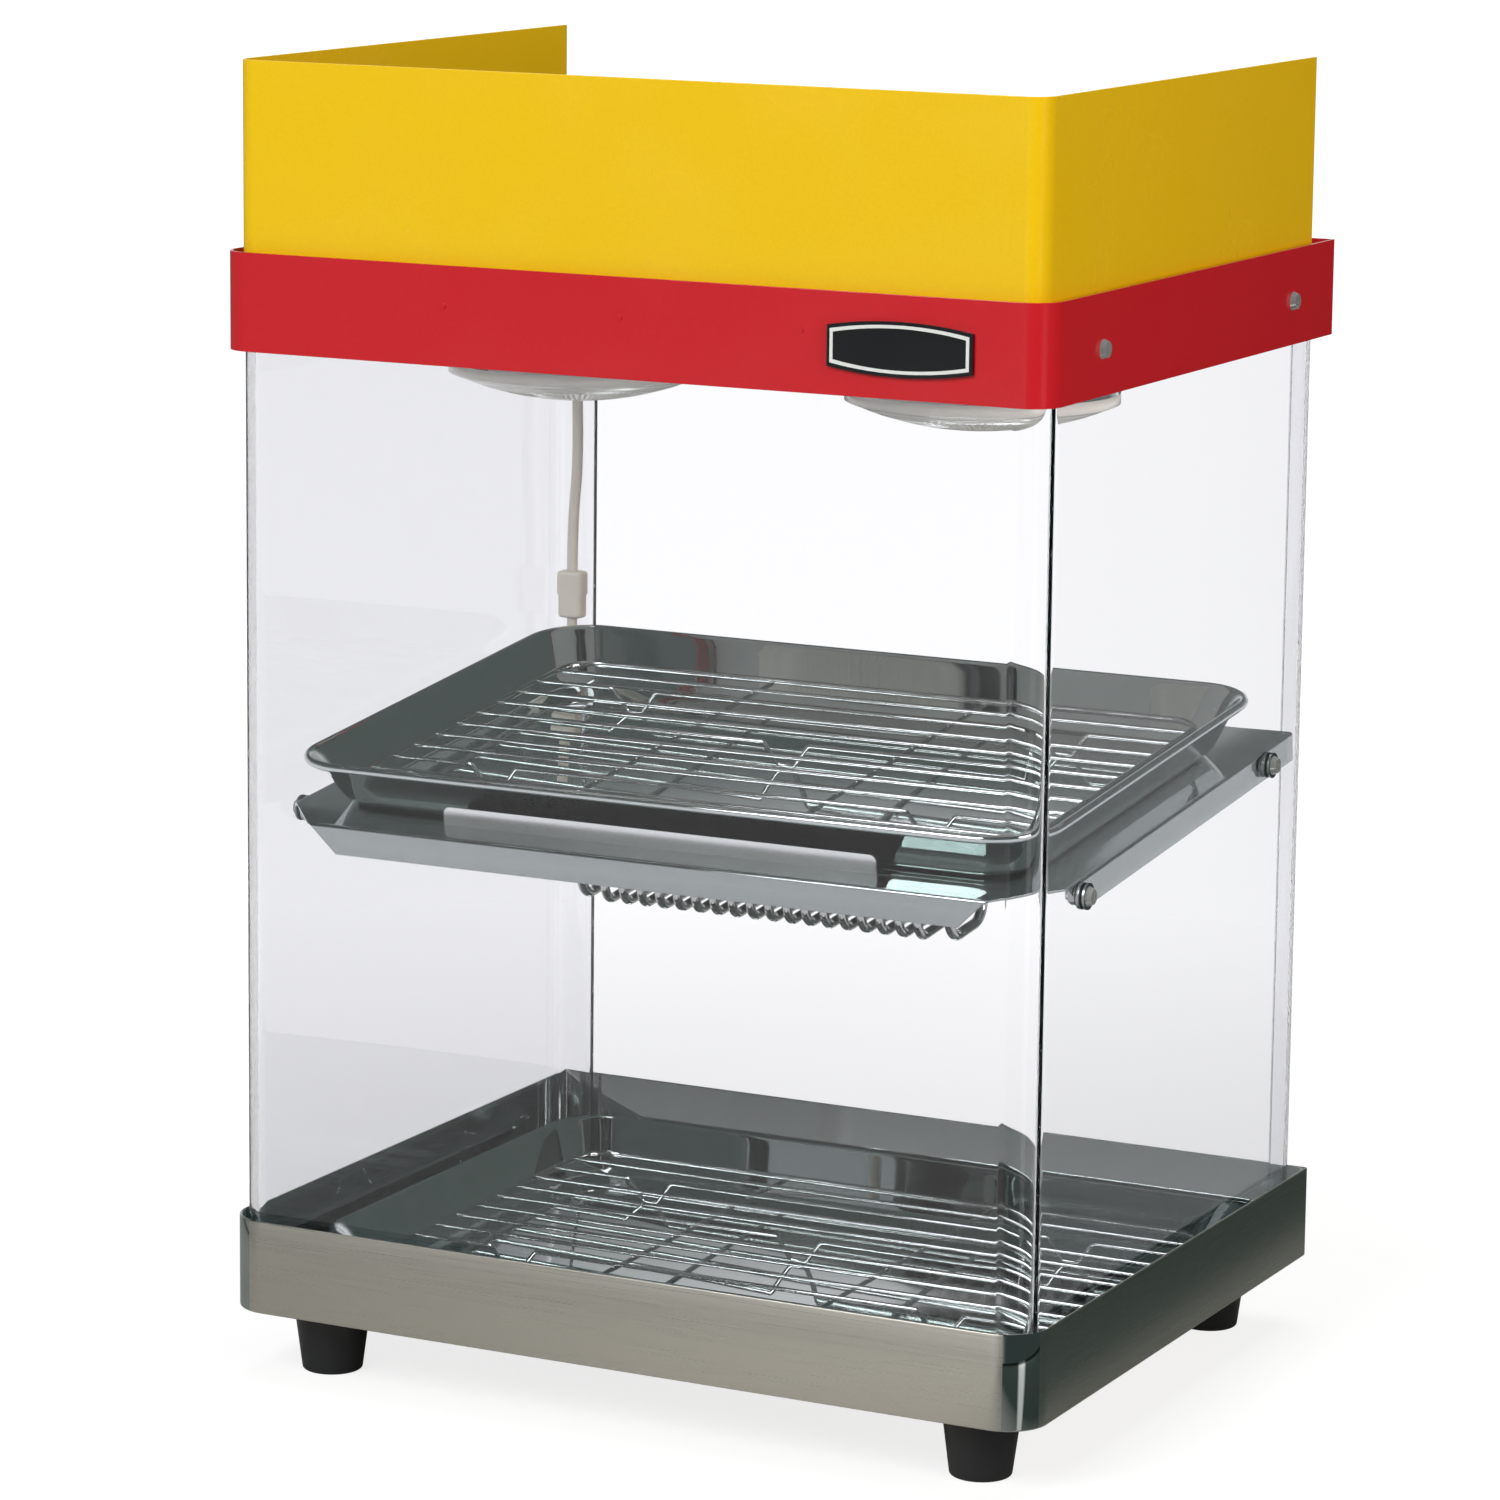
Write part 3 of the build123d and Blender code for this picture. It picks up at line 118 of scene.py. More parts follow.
def newGroup(name, inputs, outputs):  # gives the group and its two end nodes
    group = bpy.data.node_groups.new(name, "ShaderNodeTree")
    for label, kind, value in inputs:
        made = group.interface.new_socket(label, in_out="INPUT", socket_type=kind)
        if value is not None:
            made.default_value = value
    for label, kind in outputs:
        group.interface.new_socket(label, in_out="OUTPUT", socket_type=kind)
    return group, addNode(group, "NodeGroupInput"), addNode(group, "NodeGroupOutput")


# Grain: fine streaks of brushed or rolled sheet, long along X and Y, short along Z
def makeGrainGroup():
    group, start, end = newGroup(
        "sheetGrain",
        [
            ("Stretch", "NodeSocketVector", (14.0, 14.0, 2600.0)),
            ("Depth", "NodeSocketFloat", 0.2),
            ("Low", "NodeSocketFloat", 0.25),
            ("High", "NodeSocketFloat", 0.4),
        ],
        [("Roughness", "NodeSocketFloat"), ("Shade", "NodeSocketFloat"), ("Normal", "NodeSocketVector")],
    )
    where = addNode(group, "ShaderNodeTexCoord").outputs["Object"]
    stretched = calcVector(group, "MULTIPLY", where, start.outputs["Stretch"])[0]
    noise = {"Vector": stretched, "Scale": 1.0, "Detail": 3.0}
    streaks = addNode(group, "ShaderNodeTexNoise", noise).outputs["Fac"]
    rough = ramp(group, streaks, 0.3, 0.7, start.outputs["Low"], start.outputs["High"])
    shade = ramp(group, streaks, 0.3, 0.7, 0.96, 1.01)
    relief = {"Height": streaks, "Strength": start.outputs["Depth"], "Distance": 0.0001}
    bump = addNode(group, "ShaderNodeBump", relief)
    group.links.new(rough, end.inputs["Roughness"])
    group.links.new(shade, end.inputs["Shade"])
    group.links.new(bump.outputs[0], end.inputs["Normal"])
    return group


# Handling marks: soft blotches that lift the roughness a little
def makeMarksGroup():
    group, start, end = newGroup(
        "handlingMarks",
        [
            ("Size", "NodeSocketFloat", 14.0),
            ("Low", "NodeSocketFloat", 0.08),
            ("High", "NodeSocketFloat", 0.16),
        ],
        [("Roughness", "NodeSocketFloat"), ("Mask", "NodeSocketFloat")],
    )
    where = addNode(group, "ShaderNodeTexCoord").outputs["Object"]
    noise = {"Vector": where, "Scale": start.outputs["Size"], "Detail": 2.0, "Roughness": 0.5}
    cloud = addNode(group, "ShaderNodeTexNoise", noise).outputs["Fac"]
    rough = ramp(group, cloud, 0.35, 0.7, start.outputs["Low"], start.outputs["High"])
    group.links.new(rough, end.inputs["Roughness"])
    group.links.new(cloud, end.inputs["Mask"])
    return group


# Skin: the fine texture of paint, rubber or moulded plastic
def makeSkinGroup():
    group, start, end = newGroup(
        "fineSkin",
        [("Scale", "NodeSocketFloat", 900.0), ("Strength", "NodeSocketFloat", 0.05)],
        [("Normal", "NodeSocketVector"), ("Mask", "NodeSocketFloat")],
    )
    where = addNode(group, "ShaderNodeTexCoord").outputs["Object"]
    noise = {"Vector": where, "Scale": start.outputs["Scale"], "Detail": 2.0}
    peel = addNode(group, "ShaderNodeTexNoise", noise).outputs["Fac"]
    relief = {"Height": peel, "Strength": start.outputs["Strength"], "Distance": 0.0002}
    bump = addNode(group, "ShaderNodeBump", relief)
    group.links.new(bump.outputs[0], end.inputs["Normal"])
    group.links.new(peel, end.inputs["Mask"])
    return group


grainGroup = makeGrainGroup()
marksGroup = makeMarksGroup()
skinGroup = makeSkinGroup()


def useGroup(tree, group, inputs=None):
    node = addNode(tree, "ShaderNodeGroup", node_tree=group)
    for key, value in (inputs or {}).items():
        node.inputs[key].default_value = value
    return node


def hexColour(code):  # written colour as linear light
    values = []
    for i in (1, 3, 5):
        v = int(code[i:i + 2], 16) / 255
        values.append(v / 12.92 if v <= 0.04045 else ((v + 0.055) / 1.055) ** 2.4)
    return (*values, 1.0)


def startMaterial(name, **fixedInputs):
    material = bpy.data.materials.new(name)
    material.use_nodes = True
    tree = material.node_tree
    shader = tree.nodes["Principled BSDF"]
    for key, value in fixedInputs.items():
        shader.inputs[key].default_value = value
    return material, tree, shader


def tintBy(tree, shader, colour, grey):  # a grey value that changes over the surface darkens the colour
    tinted = mixColours(tree, 1.0, colour, grey, blend_type="MULTIPLY")
    tree.links.new(tinted, shader.inputs["Base Color"])


def brushedMetal(name, colour, low, high, depth=0.03, stretch=(14.0, 14.0, 2600.0)):
    material, tree, shader = startMaterial(name, Metallic=1.0)
    grain = useGroup(tree, grainGroup, {"Stretch": stretch, "Depth": depth, "Low": low, "High": high})
    tree.links.new(grain.outputs["Roughness"], shader.inputs["Roughness"])
    tree.links.new(grain.outputs["Normal"], shader.inputs["Normal"])
    tintBy(tree, shader, hexColour(colour), grain.outputs["Shade"])
    return material


def polishedMetal(name, colour, low, high, size=14.0, metallic=1.0):
    material, tree, shader = startMaterial(name, Metallic=metallic)
    marks = useGroup(tree, marksGroup, {"Size": size, "Low": low, "High": high})
    tree.links.new(marks.outputs["Roughness"], shader.inputs["Roughness"])
    lift = ramp(tree, marks.outputs["Mask"], 0.0, 1.0, 0.94, 1.05)
    tintBy(tree, shader, hexColour(colour), lift)
    return material


def skinned(name, colour, roughness, scale, strength, **fixedInputs):
    material, tree, shader = startMaterial(name, **fixedInputs)
    skin = useGroup(tree, skinGroup, {"Scale": scale, "Strength": strength})
    tree.links.new(skin.outputs["Normal"], shader.inputs["Normal"])
    lift = ramp(tree, skin.outputs["Mask"], 0.0, 1.0, 0.95, 1.04)
    tintBy(tree, shader, hexColour(colour), lift)
    marks = useGroup(tree, marksGroup, {"Size": 18.0, "Low": roughness * 0.85, "High": roughness * 1.2})
    tree.links.new(marks.outputs["Roughness"], shader.inputs["Roughness"])
    return material


# Clear sheet or lens: shadow rays and deep reflections go straight through. Quiet takes reflection away
mirrorDepth = 2.5  # reflections past this count are deep ones


def clearMaterial(name, colour, roughness, ior, clearness=1.0, quiet=0.0):
    material, tree, shader = startMaterial(name, IOR=ior, Roughness=roughness)
    shader.inputs["Transmission Weight"].default_value = clearness
    shader.inputs["Base Color"].default_value = hexColour(colour)
    shader.inputs["Specular IOR Level"].default_value = 0.3
    passing = addNode(tree, "ShaderNodeBsdfTransparent", {"Color": hexColour("#F4F7F6")})
    glassy = {"Color": hexColour(colour), "Roughness": roughness, "IOR": ior}
    bent = addNode(tree, "ShaderNodeBsdfRefraction", glassy)
    calm = mixShaders(tree, quiet, shader.outputs[0], bent.outputs[0])
    paths = addNode(tree, "ShaderNodeLightPath").outputs
    deep = calc(tree, "GREATER_THAN", paths["Glossy Depth"], mirrorDepth)
    straight = calc(tree, "MAXIMUM", paths["Is Shadow Ray"], deep)
    mixed = mixShaders(tree, straight, calm, passing.outputs[0])
    tree.links.new(mixed, tree.nodes["Material Output"].inputs["Surface"])
    return material


def coat(weight, roughness=0.03):  # clear coat over a paint
    return {"Coat Weight": weight, "Coat Roughness": roughness}


finishes = {
    "brushed": brushedMetal("brushedStainless", "#BDBAB2", 0.26, 0.36),
    "polished": polishedMetal("polishedStainless", "#A3A9A8", 0.025, 0.06),
    "tray": polishedMetal("rolledTraySteel", "#C8CECD", 0.02, 0.05, 22.0),
    "wire": polishedMetal("platedWire", "#C2C5C4", 0.05, 0.1, 60.0),
    "chrome": polishedMetal("chromePlate", "#E2E3E3", 0.14, 0.2, 80.0, 0.7),
    "trim": polishedMetal("trimStrip", "#EEF0F0", 0.16, 0.2, 12.0),
    "enamel": skinned("paleEnamel", "#DCDDDA", 0.4, 900.0, 0.03),
    "zinc": brushedMetal("zincSheet", "#B8BBBC", 0.3, 0.42, 0.02, (60.0, 60.0, 60.0)),
    "element": polishedMetal("heatTintedSheath", "#7A6C5E", 0.28, 0.45, 90.0),
    "mirror": polishedMetal("silveredBowl", "#D8DADB", 0.03, 0.07, 30.0),
    "brass": polishedMetal("brassCap", "#C9A560", 0.22, 0.34, 120.0),
    "red": skinned("redPaint", "#CB2029", 0.2, 700.0, 0.03, **coat(0.35, 0.08)),
    "yellow": skinned("yellowPaint", "#F4C70F", 0.24, 700.0, 0.03, **coat(0.3, 0.1)),
    "print": skinned("silverLine", "#E4E8E4", 0.3, 1200.0, 0.02),
    "badge": skinned("badgeBlack", "#141519", 0.18, 1200.0, 0.02, **coat(0.5)),
    "rubber": skinned("mouldedRubber", "#16191A", 0.5, 1500.0, 0.12),
    "plastic": skinned("mouldedPlastic", "#1D1F21", 0.4, 1800.0, 0.08),
    "cable": skinned("cableSleeve", "#C6BFB5", 0.5, 1600.0, 0.06, **{"Sheen Weight": 0.1}),
    "ceramic": skinned("unglazedCeramic", "#E6E1D6", 0.6, 2200.0, 0.1),
    "clear": clearMaterial("clearSheet", "#F4F4F6", 0.0, 1.49, 1.0, 0.3),
    "lens": clearMaterial("prismaticGlass", "#FCF8F0", 0.1, 1.47, 0.3),
}
print("materials built")


# Mesh helpers
def newObject(name, mesh):
    made = bpy.data.objects.new(name, mesh)
    bpy.context.collection.objects.link(made)
    return made


def meshFrom(name, verts, faces, smooth=True):
    mesh = bpy.data.meshes.new(name)
    mesh.from_pydata([tuple(v) for v in verts], [], faces)
    mesh.validate()
    work = bmesh.new()
    work.from_mesh(mesh)
    bmesh.ops.recalc_face_normals(work, faces=work.faces)
    work.to_mesh(mesh)
    work.free()
    for face in mesh.polygons:
        face.use_smooth = smooth
    return newObject(name, mesh)


def bevelled(piece, width, segments=2, angle=35.0):
    bevel = piece.modifiers.new("edges", "BEVEL")
    bevel.width = width
    bevel.segments = segments
    bevel.limit_method = "ANGLE"
    bevel.angle_limit = math.radians(angle)
    bevel.harden_normals = True
    return piece


def baked(piece):  # plain mesh with every modifier applied
    view = bpy.context.evaluated_depsgraph_get()
    view.update()
    final = piece.evaluated_get(view)
    mesh = bpy.data.meshes.new_from_object(final, preserve_all_data_layers=True, depsgraph=view)
    if piece.type == "MESH":
        piece.modifiers.clear()
        old = piece.data
        piece.data = mesh
        bpy.data.meshes.remove(old)
        mesh.name = piece.name
        return piece
    name = piece.name
    bpy.data.objects.remove(piece)
    return newObject(name, mesh)


def finishPiece(piece, finish, body, slot, *nodes):  # nodes are the ones that the piece stands for
    piece.data.materials.clear()
    piece.data.materials.append(finishes[finish])
    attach(piece, body)
    if nodes:
        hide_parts(*nodes)
    return piece


def arcPoints(centre, radius, startAngle, endAngle, steps):
    points = []
    for n in range(steps + 1):
        a = startAngle + (endAngle - startAngle) * n / steps
        points.append((centre[0] + radius * math.cos(a), centre[1] + radius * math.sin(a)))
    return points


# Closed outline seen from above, anticlockwise, with rounded corners
def roundOutline(halfX, front, rear, frontRadius, rearRadius, steps=10):
    quarter = math.pi / 2
    points = []
    corners = (
        ((halfX - rearRadius, rear - rearRadius), rearRadius, 0),
        ((-halfX + rearRadius, rear - rearRadius), rearRadius, quarter),
        ((-halfX + frontRadius, front + frontRadius), frontRadius, 2 * quarter),
        ((halfX - frontRadius, front + frontRadius), frontRadius, 3 * quarter),
    )
    for centre, radius, angle in corners:
        points += arcPoints(centre, max(radius, 1e-5), angle, angle + quarter, steps)
    return points


# Solid from closed rings of like count, one (points, height) each, with both end rings filled
def ringStack(name, rings, place=None):
    count = len(rings[0][0])
    verts, faces = [], []
    for points, height in rings:
        for x, y in points:
            spot = Vector((x, y, height))
            verts.append(place @ spot if place else spot)
    for r in range(len(rings) - 1):
        for n in range(count):
            a, b = r * count + n, r * count + (n + 1) % count
            faces.append((a, b, b + count, a + count))
    faces.append(tuple(range(count)))
    last = (len(rings) - 1) * count
    faces.append(tuple(range(last, last + count)))
    return meshFrom(name, verts, faces)


def offsetPath(points, distance):  # open path moved to the left of its direction
    moved = []
    for n, here in enumerate(points):
        before = Vector(points[max(n - 1, 0)])
        after = Vector(points[min(n + 1, len(points) - 1)])
        way = (after - before).normalized()
        moved.append((here[0] - way.y * distance, here[1] + way.x * distance))
    return moved


# Upright sheet bent along an open path seen from above. The thickness goes to the left
def bentSheet(name, path, thickness, low, high, edge):
    inner = offsetPath(path, thickness)
    count = len(path)
    verts = [(x, y, z) for z in (low, high) for row in (path, inner) for x, y in row]
    faces = []
    for n in range(count - 1):
        outLow, outHigh = n, 2 * count + n
        inLow, inHigh = count + n, 3 * count + n
        faces.append((outLow, outLow + 1, outHigh + 1, outHigh))
        faces.append((inLow, inHigh, inHigh + 1, inLow + 1))
        faces.append((outHigh, outHigh + 1, inHigh + 1, inHigh))
        faces.append((outLow, inLow, inLow + 1, outLow + 1))
    for n in (0, count - 1):
        faces.append((n, 2 * count + n, 3 * count + n, count + n))
    return bevelled(meshFrom(name, verts, faces), edge, 2, 50.0)


# Path of a U-shaped sheet open at the rear, from the left rear round the front to the right rear
def sheetPath(half, front, rear, frontRadius, steps=16, returnEnd=None, rearRadius=0.0):
    quarter = math.pi / 2
    frontX, frontY = half - frontRadius, front + frontRadius
    path = []
    if returnEnd is None:
        path.append((-half, rear))
    else:
        path.append((-returnEnd, rear))
        path += arcPoints((-half + rearRadius, rear - rearRadius), rearRadius, quarter, 2 * quarter, steps)
    path += arcPoints((-frontX, frontY), frontRadius, 2 * quarter, 3 * quarter, steps)
    path += arcPoints((frontX, frontY), frontRadius, 3 * quarter, 4 * quarter, steps)
    if returnEnd is None:
        path.append((half, rear))
    else:
        path += arcPoints((half - rearRadius, rear - rearRadius), rearRadius, 0, quarter, steps)
        path.append((returnEnd, rear))
    return path


def roundedRun(points, radius, steps=6):  # line through straight runs, with each corner rounded
    spots = [Vector(p) for p in points]
    run = [spots[0]]
    for before, here, after in zip(spots, spots[1:], spots[2:]):
        back, on = (before - here).normalized(), (after - here).normalized()
        half = math.acos(max(-1.0, min(1.0, back.dot(on)))) / 2
        room = min((before - here).length, (after - here).length) * 0.48
        reach = min(radius / math.tan(half), room)
        r = reach * math.tan(half)
        middle = here + (back + on).normalized() * (r / math.sin(half))
        first, last = here + back * reach, here + on * reach
        a, b = first - middle, last - middle
        turn = a.angle(b)
        for n in range(steps + 1):
            t = n / steps
            run.append(middle + (a * math.sin((1 - t) * turn) + b * math.sin(t * turn)) / math.sin(turn))
    run.append(spots[-1])
    return run


# Wire tree: gives every spline of a curve a round section
def makeWireTree():
    tree = bpy.data.node_groups.new("roundWire", "GeometryNodeTree")
    for label, kind in (("Wires", "Geometry"), ("Radius", "Float"), ("Sides", "Int"), ("Finish", "Material")):
        tree.interface.new_socket(label, in_out="INPUT", socket_type="NodeSocket" + kind)
    tree.interface.new_socket("Mesh", in_out="OUTPUT", socket_type="NodeSocketGeometry")
    start, end = addNode(tree, "NodeGroupInput"), addNode(tree, "NodeGroupOutput")
    circle = {"Radius": start.outputs["Radius"], "Resolution": start.outputs["Sides"]}
    section = addNode(tree, "GeometryNodeCurvePrimitiveCircle", circle).outputs["Curve"]
    sweep = {"Curve": start.outputs["Wires"], "Profile Curve": section, "Fill Caps": True}
    tube = addNode(tree, "GeometryNodeCurveToMesh", sweep)
    smooth = addNode(tree, "GeometryNodeSetShadeSmooth", {"Geometry": tube.outputs["Mesh"]})
    real = addNode(tree, "GeometryNodeRealizeInstances", {"Geometry": smooth.outputs[0]})
    dressing = {"Geometry": real.outputs[0], "Material": start.outputs["Finish"]}
    dressed = addNode(tree, "GeometryNodeSetMaterial", dressing)
    tree.links.new(dressed.outputs[0], end.inputs["Mesh"])
    return tree


wireTree = makeWireTree()


def setInputs(modifier, values):
    for item in modifier.node_group.interface.items_tree:
        if item.item_type == "SOCKET" and item.in_out == "INPUT" and item.name in values:
            modifier[item.identifier] = values[item.name]


def wireMesh(name, runs, radius, finish, sides=12):  # each run is (points, closed)
    data = bpy.data.curves.new(name, "CURVE")
    data.dimensions = "3D"
    for points, closed in runs:
        spline = data.splines.new("POLY")
        spline.points.add(len(points) - 1)
        for spot, p in zip(spline.points, points):
            spot.co = (*p, 1.0)
        spline.use_cyclic_u = closed
    piece = newObject(name, data)
    modifier = piece.modifiers.new("section", "NODES")
    modifier.node_group = wireTree
    setInputs(modifier, {"Radius": radius, "Sides": sides, "Finish": finishes[finish]})
    return baked(piece)


def joined(name, pieces):
    work = bmesh.new()
    for piece in pieces:
        work.from_mesh(piece.data)
    mesh = bpy.data.meshes.new(name)
    work.to_mesh(mesh)
    work.free()
    for piece in pieces:
        bpy.data.objects.remove(piece)
    for face in mesh.polygons:
        face.use_smooth = True
    return newObject(name, mesh)


# Shelf lead: a soft cable from the ceiling bush down to its connector
shelfLead = {
    "diameter": 5.4,
    "points": [
        (-184.0, 138.0, 480.5),
        (-184.0, 138.0, 442.5),
        (-182.4, 137.0, 396.5),
        (-185.5, 137.03, 364.6),
        (-185.5, 137.03, 340.6),
    ],
}


def makeShelfLead(spec):
    data = bpy.data.curves.new("shelf_lead_cable", "CURVE")
    data.dimensions = "3D"
    spline = data.splines.new("NURBS")
    spline.points.add(len(spec["points"]) - 1)
    for spot, p in zip(spline.points, spec["points"]):
        spot.co = (p[0] * mm, p[1] * mm, p[2] * mm, 1.0)
    spline.order_u = 3
    spline.use_endpoint_u = True
    data.bevel_depth = spec["diameter"] * mm / 2
    data.bevel_resolution = 6
    data.resolution_u = 16
    data.use_fill_caps = True
    cable = newObject("shelf_lead_cable", data)
    data.materials.append(finishes["cable"])
    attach(cable, "case")
    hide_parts("shelf_lead")


makeShelfLead(shelfLead)
print("shelf lead hung")

# Base pan: closed ring of walls with a small radius along its top edge and its foot
basePan = {
    "half": 205.0,
    "depth": 165.0,
    "corner": 20.0,
    "rearCorner": 1.5,
    "sheet": 1.2,
    "low": 32.0,
    "high": 76.0,
    "footRadius": 1.0,
    "floorTop": 34.5,  # inside, faces below this and facing up are polished
    "innerFoot": 32.5,
    "innerHalf": (204.0, 164.0),
}


def makeBasePan(spec):
    def ring(inset, height):
        outline = roundOutline(
            (spec["half"] - inset) * mm,
            (-spec["depth"] + inset) * mm,
            (spec["depth"] - inset) * mm,
            max(spec["corner"] - inset, 0.4) * mm,
            max(spec["rearCorner"] - inset, 0.3) * mm,
            14,
        )
        return outline, height * mm

    r, low, high, wall = spec["footRadius"], spec["low"], spec["high"], spec["sheet"]
    footAngles = (0, 0.52, 1.05, math.pi / 2)
    rings = [ring(r * (1 - math.sin(a)), low + r * (1 - math.cos(a))) for a in footAngles]
    topEdge = ((0.0, 0.35), (0.12, 0.1), (0.3, 0.0), (0.7, 0.0), (0.88, 0.1), (1.0, 0.35))
    rings += [ring(wall * share, high - drop) for share, drop in topEdge]
    rings += [ring(wall, low + wall + 0.6), ring(wall + 0.2, low + wall + 0.15), ring(wall + 0.7, low + wall)]
    return ringStack("base_pan_sheet", rings)


pan = makeBasePan(basePan)
finishPiece(pan, "brushed", "case", "brushed_stainless", "base_pan")
pan.data.materials.append(finishes["polished"])
innerX, innerY = (v * mm for v in basePan["innerHalf"])
for face in pan.data.polygons:
    inside = face.center.z < basePan["floorTop"] * mm and face.normal.z > 0.5
    middle = abs(face.center.x) < innerX and abs(face.center.y) < innerY
    if inside or (middle and face.center.z > basePan["innerFoot"] * mm):
        face.material_index = 1
bevelled(pan, 0.0001, 1, 60.0)
print("base pan made")

# Clear shell, in one bent sheet with two short rear returns
clearShell = {
    "half": 200.5,
    "front": -160.0,
    "rear": 161.0,
    "corner": 15.0,
    "wall": 4.5,
    "returnEnd": 184.5,
    "low": 35.0,
    "high": 490.2,
}


def makeClearShell(spec):
    path = sheetPath(
        spec["half"] * mm,
        spec["front"] * mm,
        spec["rear"] * mm,
        spec["corner"] * mm,
        20,
        spec["returnEnd"] * mm,
        spec["corner"] * mm,
    )
    wall, low, high = (spec[k] * mm for k in ("wall", "low", "high"))
    return bentSheet("clear_shell_sheet", path, wall, low, high, 0.4 * mm)


shell = makeClearShell(clearShell)
finishPiece(shell, "clear", "case", "clear_sheet", "clear_shell")
print("clear shell made")

# Top band and sign board
topBand = {
    "half": 205.0,
    "front": -165.0,
    "rear": 165.0,
    "corner": 14.0,
    "wall": 1.2,
    "low": 481.0,
    "high": 526.0,
}
signBoard = {
    "half": 199.25,
    "front": -159.7,
    "rear": 150.4,
    "corner": 10.0,
    "wall": 1.0,
    "low": 498.0,
    "high": 612.0,
}


def makeUpright(name, spec):
    path = sheetPath(*(spec[k] * mm for k in ("half", "front", "rear", "corner")))
    wall, low, high = (spec[k] * mm for k in ("wall", "low", "high"))
    return bentSheet(name, path, wall, low, high, 0.25 * mm)


band = makeUpright("top_band_sheet", topBand)
finishPiece(band, "red", "case", "red_paint", "top_band")
sign = makeUpright("sign_board_sheet", signBoard)
finishPiece(sign, "yellow", "sign_panel", "yellow_paint", "sign_panel")
print("band and sign made")

# Shelf frame: every piece on the shelf is drawn level and then tilted into place
shelfTilt = math.radians(5.82)
shelfPlace = Matrix.Translation((0, 0, 0.2775)) @ Matrix.Rotation(shelfTilt, 4, "X")

shelfPlate = {
    "half": 194.5,
    "front": -143.8,
    "rear": 148.0,
    "frontHalf": 171.0,
    "chamferEnd": -115.6,
    "lip": 14.0,
    "sheet": 1.2,
    "bend": 1.6,
}


def makeShelfPlate(spec):
    half, front, rear = spec["half"], spec["front"], spec["rear"]
    fh, ce, lip = spec["frontHalf"], spec["chamferEnd"], spec["lip"]
    rearHalf = half - 2 * lip
    verts = [
        (-fh, front, 0), (fh, front, 0), (half, ce, 0), (half, rear, 0), (rearHalf, rear, 0),
        (-rearHalf, rear, 0), (-half, rear, 0), (-half, ce, 0),
        (-fh + lip, front, -lip), (fh - lip, front, -lip),
        (half, ce + lip, -lip), (half, rear, -lip),
        (rearHalf, rear, -lip), (-rearHalf, rear, -lip),
        (-half, ce + lip, -lip), (-half, rear, -lip),
    ]
    faces = [
        (0, 1, 2, 3, 4, 5, 6, 7),
        (0, 8, 9, 1),
        (2, 10, 11, 3),
        (4, 12, 13, 5),
        (6, 15, 14, 7),
    ]
    mesh = bpy.data.meshes.new("shelf_plate_sheet")
    mesh.from_pydata([shelfPlace @ (Vector(v) * mm) for v in verts], [], faces)
    work = bmesh.new()
    work.from_mesh(mesh)
    bmesh.ops.recalc_face_normals(work, faces=work.faces)
    top = max(work.faces, key=lambda f: f.calc_area())
    if top.normal.z < 0:
        bmesh.ops.reverse_faces(work, faces=work.faces)
    folds = [e for e in work.edges if len(e.link_faces) == 2]
    bmesh.ops.bevel(work, geom=folds, offset=spec["bend"] * mm, segments=5, profile=0.5, affect="EDGES")
    work.to_mesh(mesh)
    work.free()
    piece = newObject("shelf_plate_sheet", mesh)
    for face in mesh.polygons:
        face.use_smooth = True
    wall = piece.modifiers.new("wall", "SOLIDIFY")
    wall.thickness = spec["sheet"] * mm
    wall.offset = -1.0
    bevelled(piece, 0.15 * mm, 1, 60.0)
    return piece


plate = makeShelfPlate(shelfPlate)
finishPiece(plate, "polished", "case", "polished_stainless", "shelf_plate")
print("shelf made")

# Trays: flared dish with a bent foot and a rolled rim
trayShape = {
    "halfX": 189.0,
    "halfY": 133.5,
    "corner": 30.0,
    "height": 26.0,
    "sideFlare": 15.0,
    "frontFlare": 20.0,
    "wall": 1.0,
    "rim": 2.1,
    "footBend": 4.0,
}
trayPlaces = {
    "upper": shelfPlace @ Matrix.Translation((0, -0.003, 0.0003)),
    "lower": Matrix.Translation((0, 0.0165, 0.0335)),
}


# Rings run from the underside out over the rolled rim and down to the inner floor
def makeTray(name, spec, place):
    height, rim, wall, bend = spec["height"], spec["rim"], spec["wall"], spec["footBend"]

    def ring(share, z, grow=0.0):
        halfX = spec["halfX"] - spec["sideFlare"] * share + grow
        halfY = spec["halfY"] - spec["frontFlare"] * share + grow
        corner = max(spec["corner"] - spec["sideFlare"] * share * 0.5 + grow, 4.0)
        outline = roundOutline(halfX * mm, -halfY * mm, halfY * mm, corner * mm, corner * mm, 12)
        return outline, z * mm

    def footRing(n, skin):  # n steps up the bend at the foot of the wall
        return ring(1.0 - 0.04 * n, skin + bend * 0.28 * n * n / 2, -bend * (0.55, 0.22)[n - 1] - skin)

    rings = [ring(1.0, 0.0, -bend), footRing(1, 0.0), footRing(2, 0.0)]
    rings.append(ring(0.82, height * 0.2))
    rings.append(ring(0.2, height - 2 * rim, -rim * 1.1))
    for n in range(7):
        a = -math.pi / 2 + n * math.pi / 4.2
        rings.append(ring(0.0, height - rim + rim * math.sin(a), -rim + rim * math.cos(a)))
    rings.append(ring(0.2, height - 2 * rim - 0.6, -rim * 1.1 - wall))
    rings.append(ring(0.82, height * 0.2 + 0.4, -wall))
    rings += [footRing(2, wall), footRing(1, wall), ring(1.0, wall, -bend - wall)]
    return ringStack(name, rings, place)


for word, place in trayPlaces.items():
    tray = makeTray(f"{word}_tray_dish", trayShape, place)
    bevelled(tray, 0.0001, 1, 75.0)
    finishPiece(tray, "tray", f"{word}_tray", "tray_steel", f"{word}_tray")
print("trays made")

